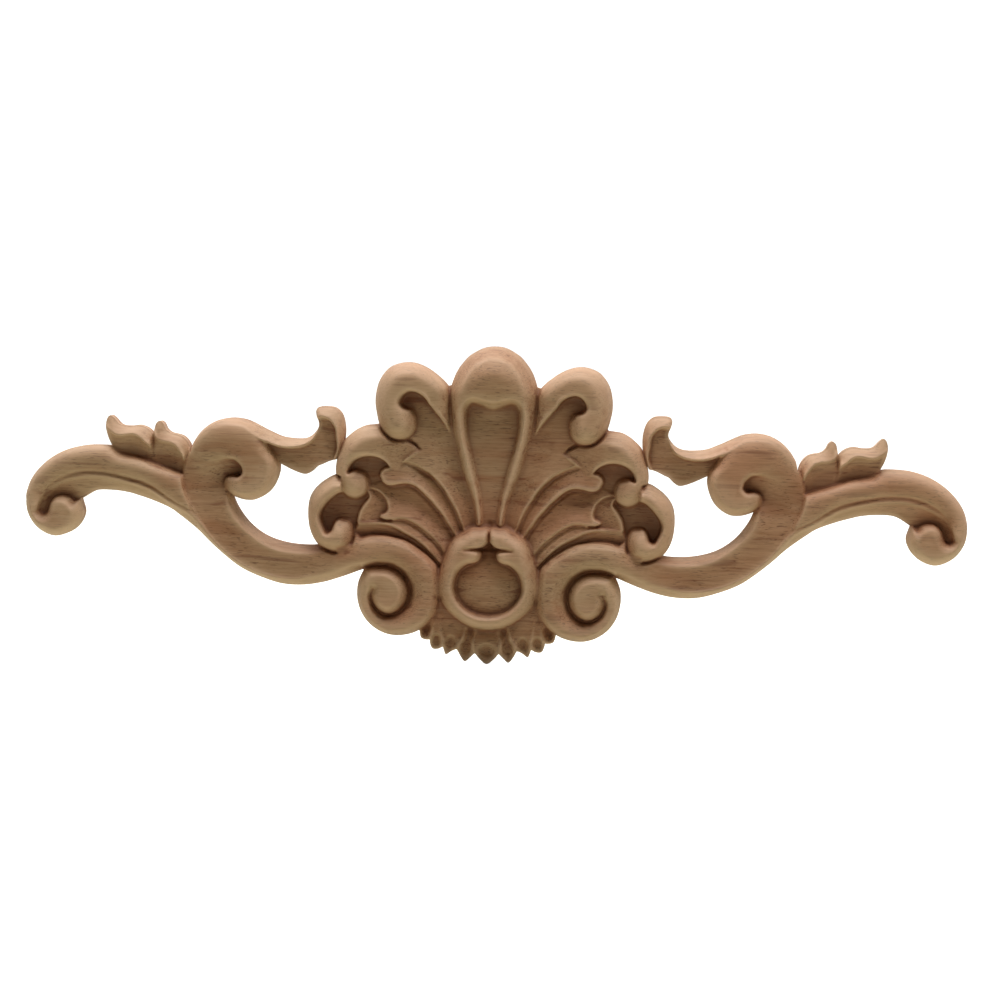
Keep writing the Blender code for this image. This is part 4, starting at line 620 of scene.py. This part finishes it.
def carve_ring(r):
    # Cartouche: a ring of two curled leaves round a plain, slightly domed field.
    outer = rail([(-5, -9.6), (0, -9.2), (4.1, -9.4), (8.3, -9.9), (12, -12), (16.5, -15.2), (19, -18.2),
        (21.2, -23), (22.8, -28), (23.6, -33), (23.7, -38), (23, -43), (21, -48), (18, -52), (13.5, -55.7),
        (9, -58), (5, -59.1), (0, -59.6), (-5, -59.1)],
        [9, 9, 9.5, 10, 10.5, 10.5, 10, 10, 10.5, 11.5, 13, 13, 12, 10.5] + [9.5] * 5)
    hole = rail([(-5, -52), (0, -52.4), (5, -51.8), (9, -50.3), (12.5, -47.5), (15, -44), (16.4, -40),
        (16.2, -36), (15, -32.5), (13, -29.7), (10, -27.6), (7.3, -26.8), (5, -25.6), (3.9, -23.6),
        (4.3, -21.6), (7, -20.6), (11, -20.4)], [14.5] * 11 + [15, 14.5, 14, 14.5, 16, 17.5])
    knuckle = rail([(-3, -17.6), (0, -16.8), (1.2, -17.9), (3, -19.2), (5.5, -19.9), (8, -20.2),
        (11, -20.4)], [11.5, 12, 12.5, 14, 15.5, 16.5, 17.5])
    cleft = rail([(0, -8), (0, -12), (0, -17)], [11, 14, 12])
    region = around(outer, [(-5, -52)], hole[1:], knuckle[::-1])
    r.carve(around(outer, [(-5, -30)]), flat(9.5))

    def far_out(x, z):
        return (x / 16.4) ** 2 + ((z + 39.5) / 13) ** 2

    r.carve(around(hole, [(5, -18), (-5, -18)]), lambda x, z: FIELD_TOP - 3.4 * far_out(x, z), np.minimum)
    r.carve(around(hole[:-5], [(3, -22), (-5, -22)]),
            lambda x, z: FIELD_TOP - 3.4 * np.minimum(far_out(x, z), 1.6))
    body = lowest(roll(outer, [17.5, 18, RING_TOP, RING_TOP, 18] + [17.5] * 4, [5, 6, 6, 7, 7, 6, 5.5, 5.5]),
                  roll(hole, RING_TOP, [4] * 6 + [3, 2.2, 2.2]), roll(knuckle, RING_TOP, [3, 3, 2.4]))
    r.carve(region, lowest(body, roll(cleft, RING_TOP, [2.4, 2.2, 3])))
    r.ridge(rail([(0, -8), (0, -17)], 0), [-1.2, -1.2, -0.6], 1.2)
    # Low down the ring and the volute run into each other.
    r.calm(around([(20.5, -33), (23, -31.5), (26.5, -33), (27.5, -42), (28, -50), (24, -52), (19, -49),
        (20, -42)]), 0.7, 2.4)


def press(r, cx, cz, wide, high, deep, turn):
    """Takes an oval thumbprint off the surface."""
    co, si = math.cos(turn), math.sin(turn)
    ring = [(cx + wide * math.cos(a) * co - high * math.sin(a) * si,
             cz + wide * math.cos(a) * si + high * math.sin(a) * co)
            for a in np.linspace(0, math.tau, 28, endpoint=False)]
    w = r.window(np.array(ring), 0)
    x, z = r.x[w] - cx, r.z[w] - cz
    u, v = x * co + z * si, z * co - x * si
    r.height[w] -= deep * np.clip(1 - (u / wide) ** 2 - (v / high) ** 2, 0, 1) ** 1.5


def carve_fringe(r):
    # Pointed scallops along the lower edge, each with a thumbprint hollow.
    lower = rail([(-5.8, -71), (-3.4, -73.9), (0, -76.2), (3.4, -73.9), (5.8, -71)], EDGE, step=0.7)
    scallops = [[(5.8, -71), (8, -73.3), (10.5, -75.2), (12.8, -72.6), (14.5, -69.3)],
                [(14.5, -69.3), (17, -70.5), (19.8, -72.2), (20.7, -70.3), (21.2, -68.4)],
                [(21.2, -68.4), (23.4, -69.6), (26.2, -69.6), (27.4, -67.6), (27.6, -65.2)],
                [(27.6, -65.2), (29.6, -65.4), (31.9, -64.6), (32.6, -62.6), (32.8, -60.4)]]
    lower = np.concatenate([lower] + [rail(points, EDGE, step=0.7) for points in scallops])
    r.body(around(lower, [(30, -55), (-5, -55)]))
    root = rail([(-6, -59), (0, -59.6), (9.6, -57.8), (18, -52), (23, -48), (28, -56), (33, -61)],
        [8.5, 8.5, 9, 10.5, 11.5, 9.5, 8])
    region = around(lower, [(33, -56), (24, -46), (-5, -50)])
    r.carve(region, lowest(roll(lower, 10.6, 2.6), rise(root, 10.8, 6.0)))
    r.calm(region, 1.2, 1.0)
    for line, lift in (([(5.8, -71), (6.9, -66), (5.6, -60)], 1.2),
                       ([(14.5, -69.3), (12.6, -66), (11, -62.5), (10.1, -58)], 1.3),
                       ([(21.2, -68.6), (21.5, -64), (22.4, -58), (22.6, -53)], 0.9),
                       ([(27.5, -65.3), (26.9, -61.5), (25.4, -56)], 1.0)):
        r.ridge(rail(line, 0), lift, 1.1)
    for oval in ((0, -70.2, 5.2, 4.8, 3.8, 0), (10.2, -68.6, 3.7, 6.2, 3.6, 0.12),
                 (8.4, -62.0, 2.9, 5.5, 1.5, 0.1), (17.6, -66.6, 3.4, 4.8, 3.4, 0.2),
                 (24.4, -65.6, 3.2, 4.2, 3.4, 0.1), (29.6, -61.0, 3.0, 4.6, 3.8, 0.4)):
        press(r, *oval)


def soften(r):
    """Rounds every crest and crease twice, as a small cutter and sandpaper do."""
    near_in = r.depth_in > -SMOOTHED
    for axis in (0, 1, 0, 1):
        total = sum(w * np.roll(r.height, k, axis) for k, w in ((-1, 0.25), (0, 0.5), (1, 0.25)))
        r.height = np.where(near_in, total, r.height)


def carved():
    """The whole right half, with neighbouring forms laid over one another from the back to the front."""
    r = Relief()
    carve_fringe(r)
    carve_hollows(r, *carve_shell(r))
    carve_leaves(r)
    carve_wing(r)
    carve_flag(r)
    carve_scroll(r)
    carve_groove(r)
    carve_flag_top(r)
    carve_mid_lobe(r)
    carve_low_lobe(r)
    carve_volute(r)
    carve_curl(r)
    carve_petal(r)
    carve_ring(r)
    r.mirror()
    soften(r)
    r.mirror()
    return r


def right_half(r):
    """The right half with its wall and flat back, cut off in the middle plane, as points and faces in mm."""
    points, faces, known = [], [], {}
    solid = r.depth_in > 0
    xs, zs, depth_in, height = (k.tolist() for k in (r.xs, r.zs, r.depth_in, r.height))
    xs[r.middle] = 0.0

    def corner(i, j):
        if (i, j) not in known:
            known[i, j] = len(points)
            points.append((xs[i], -height[i][j], zs[j]))
        return known[i, j]

    def crossing(a, b):
        if (a, b) not in known:
            da, db = depth_in[a[0]][a[1]], depth_in[b[0]][b[1]]
            t = min(max(da / (da - db), 0.1), 0.9)
            ha, hb = height[a[0]][a[1]], height[b[0]][b[1]]
            known[a, b] = len(points)
            points.append((xs[a[0]] * (1 - t) + xs[b[0]] * t, -(ha * (1 - t) + hb * t),
                           zs[a[1]] * (1 - t) + zs[b[1]] * t))
        return known[a, b]

    some = solid[:-1, :-1] | solid[1:, :-1] | solid[:-1, 1:] | solid[1:, 1:]
    is_solid = solid.tolist()
    some[:r.middle] = False
    for i, j in zip(*(k.tolist() for k in np.nonzero(some))):
        ring = ((i, j), (i + 1, j), (i + 1, j + 1), (i, j + 1))
        face = []
        for a, b in zip(ring, ring[1:] + ring[:1]):
            sa, sb = is_solid[a[0]][a[1]], is_solid[b[0]][b[1]]
            if sa:
                face.append(corner(*a))
            if sa != sb:
                face.append(crossing(a, b) if sa else crossing(b, a))
        faces.append(face)
    count = len(points)
    used = {(a, b) for face in faces for a, b in zip(face, face[1:] + face[:1])}
    wall = [(b, a, a + count, b + count) for a, b in used
            if (b, a) not in used and max(points[a][0], points[b][0]) > 0]
    back = [[k + count for k in reversed(face)] for face in faces]
    points += [(x, 0.0, z) for x, _, z in points]
    return points, faces + wall + back


def thinned(points, faces, wanted):
    """The same surface with about the wanted number of triangles."""
    mesh = bpy.data.meshes.new("half")
    mesh.from_pydata(points, [], faces)
    bm = bmesh.new()
    bm.from_mesh(mesh)
    bmesh.ops.triangulate(bm, faces=bm.faces)
    bm.to_mesh(mesh)
    bm.free()
    helper = bpy.data.objects.new("half", mesh)
    bpy.context.scene.collection.objects.link(helper)
    modifier = helper.modifiers.new("thin", "DECIMATE")
    modifier.ratio = wanted / len(mesh.polygons)
    graph = bpy.context.evaluated_depsgraph_get()
    result = bpy.data.meshes.new_from_object(helper.evaluated_get(graph))
    bpy.data.objects.remove(helper)
    return result


def both_halves(half, scale):
    """The half and its mirror image joined in the middle, in metres."""
    bm = bmesh.new()
    bm.from_mesh(half)
    for vert in bm.verts:
        if vert.is_boundary:
            vert.co.x = 0.0
        if vert.co.y > -BACK_ZONE:
            vert.co.y = 0.0
    turned = bmesh.ops.duplicate(bm, geom=bm.verts[:] + bm.edges[:] + bm.faces[:])["geom"]
    for item in turned:
        if isinstance(item, bmesh.types.BMVert):
            item.co.x = -item.co.x
    bmesh.ops.reverse_faces(bm, faces=[item for item in turned if isinstance(item, bmesh.types.BMFace)])
    bmesh.ops.remove_doubles(bm, verts=[v for v in bm.verts if v.co.x == 0.0], dist=SEAM)
    for vert in bm.verts:
        vert.co *= MM * scale
    mesh = bpy.data.meshes.new("carved_wood")
    bm.to_mesh(mesh)
    bm.free()
    return mesh


def box_blur(a, n):
    """Mean over a square of 2n + 1 cells, twice."""
    for _ in range(2):
        for axis in (0, 1):
            pad = [(n + 1, n) if k == axis else (0, 0) for k in (0, 1)]
            c = np.cumsum(np.pad(a, pad, mode="edge"), axis=axis)
            a = (np.take(c, range(2 * n + 1, c.shape[axis]), axis)
                 - np.take(c, range(0, c.shape[axis] - 2 * n - 1), axis)) / (2 * n + 1)
    return a


def add_hollow(mesh, r, scale):
    """Stores how far each point lies below its surroundings: under 0 on crests, near 1 in deep creases."""
    # The material paints shade where this value is high and a highlight where it is below 0.
    # Beyond the outline the level counts as lower, so that the rims get as pale a painted highlight as the
    # crests.
    ground = np.where(r.depth_in > 0, r.height, SURROUND)
    low = np.zeros_like(r.height)
    for radius, share in ((1.2, 0.4), (4.0, 0.4), (9.0, 0.35)):
        n = round(radius / CELL)
        low += share * np.clip((box_blur(ground, n) - r.height) / radius, -1, 1)
    co = np.empty(len(mesh.vertices) * 3, np.float32)
    mesh.vertices.foreach_get("co", co)
    co = co.reshape(-1, 3) / (MM * scale)
    u = np.clip((np.abs(co[:, 0]) - r.xs[0]) / CELL, 0, len(r.xs) - 1.001)
    v = np.clip((co[:, 2] - r.zs[0]) / CELL, 0, len(r.zs) - 1.001)
    i, j = u.astype(int), v.astype(int)
    f, g = u - i, v - j
    value = (low[i, j] * (1 - f) * (1 - g) + low[i + 1, j] * f * (1 - g)
             + low[i, j + 1] * (1 - f) * g + low[i + 1, j + 1] * f * g)
    value = np.where(co[:, 1] > -BACK_ZONE, 0.0, value)
    layer = mesh.attributes.new("hollow", "FLOAT", "POINT")
    layer.data.foreach_set("value", value.astype(np.float32))


# Colours of the wood as they look on a screen, from 0 to 255, and of the shade, highlight and light from
# below painted on it.
PALE = (181, 145, 111)
PINKISH = (185, 134, 101)
BANDS = (158, 104, 68)
LINES = (128, 84, 52)
STREAKS = (122, 70, 46)
PORES = (86, 50, 30)
PAINTED_UNDERSIDE_LIGHT = (200, 174, 138)
PAINTED_SHADE = (108, 56, 22)
PAINTED_HIGHLIGHT = (224, 190, 158)
WHITE = (1.0, 1.0, 1.0, 1.0)


class Nodes:
    """Adds shader nodes to a tree with few words. A value is a number, a colour or another node's socket."""

    def __init__(self, tree):
        self.tree = tree

    def put(self, socket, value):
        if isinstance(value, bpy.types.NodeSocket):
            self.tree.links.new(value, socket)
        else:
            socket.default_value = value

    def feed(self, node, inputs):
        for key, value in inputs.items():
            self.put(node.inputs[key], value)
        return node

    def add(self, kind, inputs=None, **settings):
        node = self.tree.nodes.new("ShaderNode" + kind)
        for key, value in settings.items():
            setattr(node, key, value)
        return self.feed(node, inputs or {})

    def math(self, operation, *values):
        return self.add("Math", dict(enumerate(values)), operation=operation).outputs[0]

    def ramp(self, value, low, high, to_low=0.0, to_high=1.0):
        ends = {"Value": value, "From Min": low, "From Max": high, "To Min": to_low, "To Max": to_high}
        return self.add("MapRange", ends, interpolation_type="SMOOTHSTEP").outputs["Result"]

    def mix(self, share, a, b):
        node = self.add("Mix", data_type="RGBA")
        for name, value in (("Factor_Float", share), ("A_Color", a), ("B_Color", b)):
            self.put(next(s for s in node.inputs if s.identifier == name), value)
        return next(s for s in node.outputs if s.identifier == "Result_Color")

    def noise(self, where, across, scale, detail=3.0, rough=0.5, warp=0.0):
        """A pattern drawn out along the width: it is that many times finer across it."""
        place = self.add("Mapping", {"Vector": where, "Scale": (1.0, across, across)}).outputs[0]
        return self.add("TexNoise", {"Vector": place, "Scale": scale, "Detail": detail, "Roughness": rough,
                                     "Distortion": warp}).outputs["Fac"]

    def seen_and_lit(self, lit, seen):
        """A strength that differs between what the camera sees and what lights the object."""
        camera_ray = self.add("LightPath").outputs["Is Camera Ray"]
        return self.add("MapRange", {"Value": camera_ray, "To Min": lit, "To Max": seen}).outputs["Result"]


def new_material(name):
    material = bpy.data.materials.new(name)
    material.use_nodes = True
    return material, Nodes(material.node_tree), material.node_tree.nodes["Principled BSDF"]


def colour(shade):
    """A colour given as it looks on a screen, from 0 to 255."""
    return tuple(((v / 255 + 0.055) / 1.055) ** 2.4 for v in shade) + (1.0,)


def carved_wood():
    """Unpainted pale wood with its grain along the width: soft bands, streaks, fine lines and short dark
    pores. Shade is painted darker into the hollows, a highlight paler onto the crests, and light from below
    paler onto the undersides."""
    material, n, shader = new_material("pale_carved_wood")
    where = n.add("TexCoord").outputs["Object"]
    broad = n.noise(where, 4.0, 7.0, 2.0, 0.5, 0.4)
    bands = n.noise(where, 13.0, 11.0, 3.0, 0.6, 0.5)
    fine = n.noise(where, 18.0, 60.0, 3.0, 0.65)
    streaks = n.noise(where, 26.0, 12.0, 2.0, 0.5, 0.3)
    pores = n.noise(where, 8.0, 260.0, 1.0, 0.4)
    patches = n.noise(where, 2.0, 45.0, 2.0)
    tone = n.mix(n.ramp(broad, 0.34, 0.66), colour(PALE), colour(PINKISH))
    grain = ((bands, 0.46, 0.72, 0.65, BANDS), (fine, 0.35, 0.72, 0.36, LINES),
             (streaks, 0.58, 0.70, 0.6, STREAKS))
    for pattern, start, full, share, shade in grain:
        tone = n.mix(n.ramp(pattern, start, full, 0.0, share), tone, colour(shade))
    fleck = n.math("MULTIPLY", n.ramp(pores, 0.58, 0.70), n.ramp(patches, 0.32, 0.58))
    tone = n.mix(n.math("MULTIPLY", fleck, 0.62), tone, colour(PORES))
    low = n.add("Attribute", attribute_name="hollow").outputs["Fac"]
    # Undersides are painted paler and greyer, as light from below makes them, but not down in the hollows.
    facing = n.add("SeparateXYZ", {0: n.add("NewGeometry").outputs["Normal"]}).outputs["Z"]
    underside_light_share = n.math("MULTIPLY", n.ramp(facing, -0.10, -0.65, 0.0, 0.42), n.ramp(low, 0.20, -0.10))
    tone = n.mix(underside_light_share, tone, colour(PAINTED_UNDERSIDE_LIGHT))
    # Painted shade darkens the hollows, and a painted highlight pales the crests.
    for start, full, share, shade in ((0.02, 0.60, 0.68, PAINTED_SHADE), (-0.05, -0.60, 0.48, PAINTED_HIGHLIGHT)):
        tone = n.mix(n.ramp(low, start, full, 0.0, share), tone, colour(shade))
    relief = n.math("SUBTRACT", n.math("MULTIPLY", fine, 0.35), fleck)
    bump = n.add("Bump", {"Height": relief, "Strength": 0.25, "Distance": 0.0003})
    n.feed(shader, {"Base Color": tone, "Roughness": n.ramp(fine, 0.3, 0.7, 0.55, 0.70),
                    "Specular IOR Level": 0.5, "Normal": bump.outputs["Normal"]})
    return material


def add_object(name, data):
    item = bpy.data.objects.new(name, data)
    bpy.context.scene.collection.objects.link(item)
    return item


def add_camera():
    """A camera a little above and to the right of the middle, turned slightly, as for the photograph."""
    yaw, pitch, tilt = (math.radians(a) for a in (3.94, 4.0, 1.61))
    distance = 1.2
    focal, picture = 2503.0, 1000.0  # focal length and width of the picture, in pixels
    target = Vector((0.0038, 0.0, 0.0026))
    ahead = Vector((-math.sin(yaw) * math.cos(pitch), math.cos(yaw) * math.cos(pitch), -math.sin(pitch)))
    side = Vector((math.cos(yaw), math.sin(yaw), 0.0))
    above = side.cross(ahead)
    right = side * math.cos(tilt) + above * math.sin(tilt)
    up = above * math.cos(tilt) - side * math.sin(tilt)
    data = bpy.data.cameras.new("camera")
    data.sensor_width = 36.0
    data.lens = focal / picture * data.sensor_width
    camera = add_object("camera", data)
    turn = Matrix((right, up, -ahead)).transposed().to_4x4()
    camera.matrix_world = Matrix.Translation(target - ahead * distance) @ turn
    bpy.context.scene.camera = camera


def add_floor(low):
    """A pale matte floor under the object. To the camera it is even and white to its far end."""
    mesh = bpy.data.meshes.new("floor")
    mesh.from_pydata([(-6, -4, low), (6, -4, low), (6, 8, low), (-6, 8, low)], [], [(0, 1, 2, 3)])
    material, n, shader = new_material("pale_floor")
    n.feed(shader, {"Base Color": (0.54, 0.55, 0.43, 1.0), "Roughness": 0.9, "Emission Color": WHITE,
                    "Emission Strength": n.seen_and_lit(0.10, 1.0)})
    mesh.materials.append(material)
    add_object("floor", mesh)


def add_surround():
    """White light from all round: weak from the camera's side and strong from behind the object."""
    world = bpy.data.worlds.new("surround")
    world.use_nodes = True
    n = Nodes(world.node_tree)
    way = n.add("SeparateXYZ", {0: n.add("TexCoord").outputs["Generated"]}).outputs["Y"]
    strength = n.seen_and_lit(n.ramp(way, -0.25, 0.45, 0.02, 0.9), 1.1)
    n.feed(world.node_tree.nodes["Background"], {"Color": WHITE, "Strength": strength})
    bpy.context.scene.world = world


def add_key_light(place, size, power, tint):
    """One soft light from above, aimed at the middle of the object."""
    data = bpy.data.lights.new("key", "AREA")
    data.shape = "RECTANGLE"
    data.size, data.size_y = size
    data.energy = power
    data.color = tint
    light = add_object("key", data)
    light.location = place
    light.rotation_mode = "QUATERNION"
    light.rotation_quaternion = (-Vector(place)).to_track_quat("-Z", "Y")


def main():
    relief = carved()
    points, faces = right_half(relief)
    scale = WIDTH / (2 * max(point[0] for point in points))
    mesh = both_halves(thinned(points, faces, TRIANGLES / 2), scale)
    add_hollow(mesh, relief, scale)
    mesh.materials.append(carved_wood())
    mesh.shade_smooth()
    mesh.set_sharp_from_angle(angle=math.radians(SHARP_ANGLE))
    carving = add_object("carved_wood", mesh)
    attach(carving, "root")
    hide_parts("carved_applique")
    add_floor(low=min(v.co.z for v in mesh.vertices))
    add_surround()
    add_key_light(place=(-0.05, -0.14, 1.15), size=(2.0, 0.50), power=22.0, tint=(1.0, 0.975, 0.95))
    add_camera()
    bpy.context.scene.view_settings.view_transform = "Standard"


main()
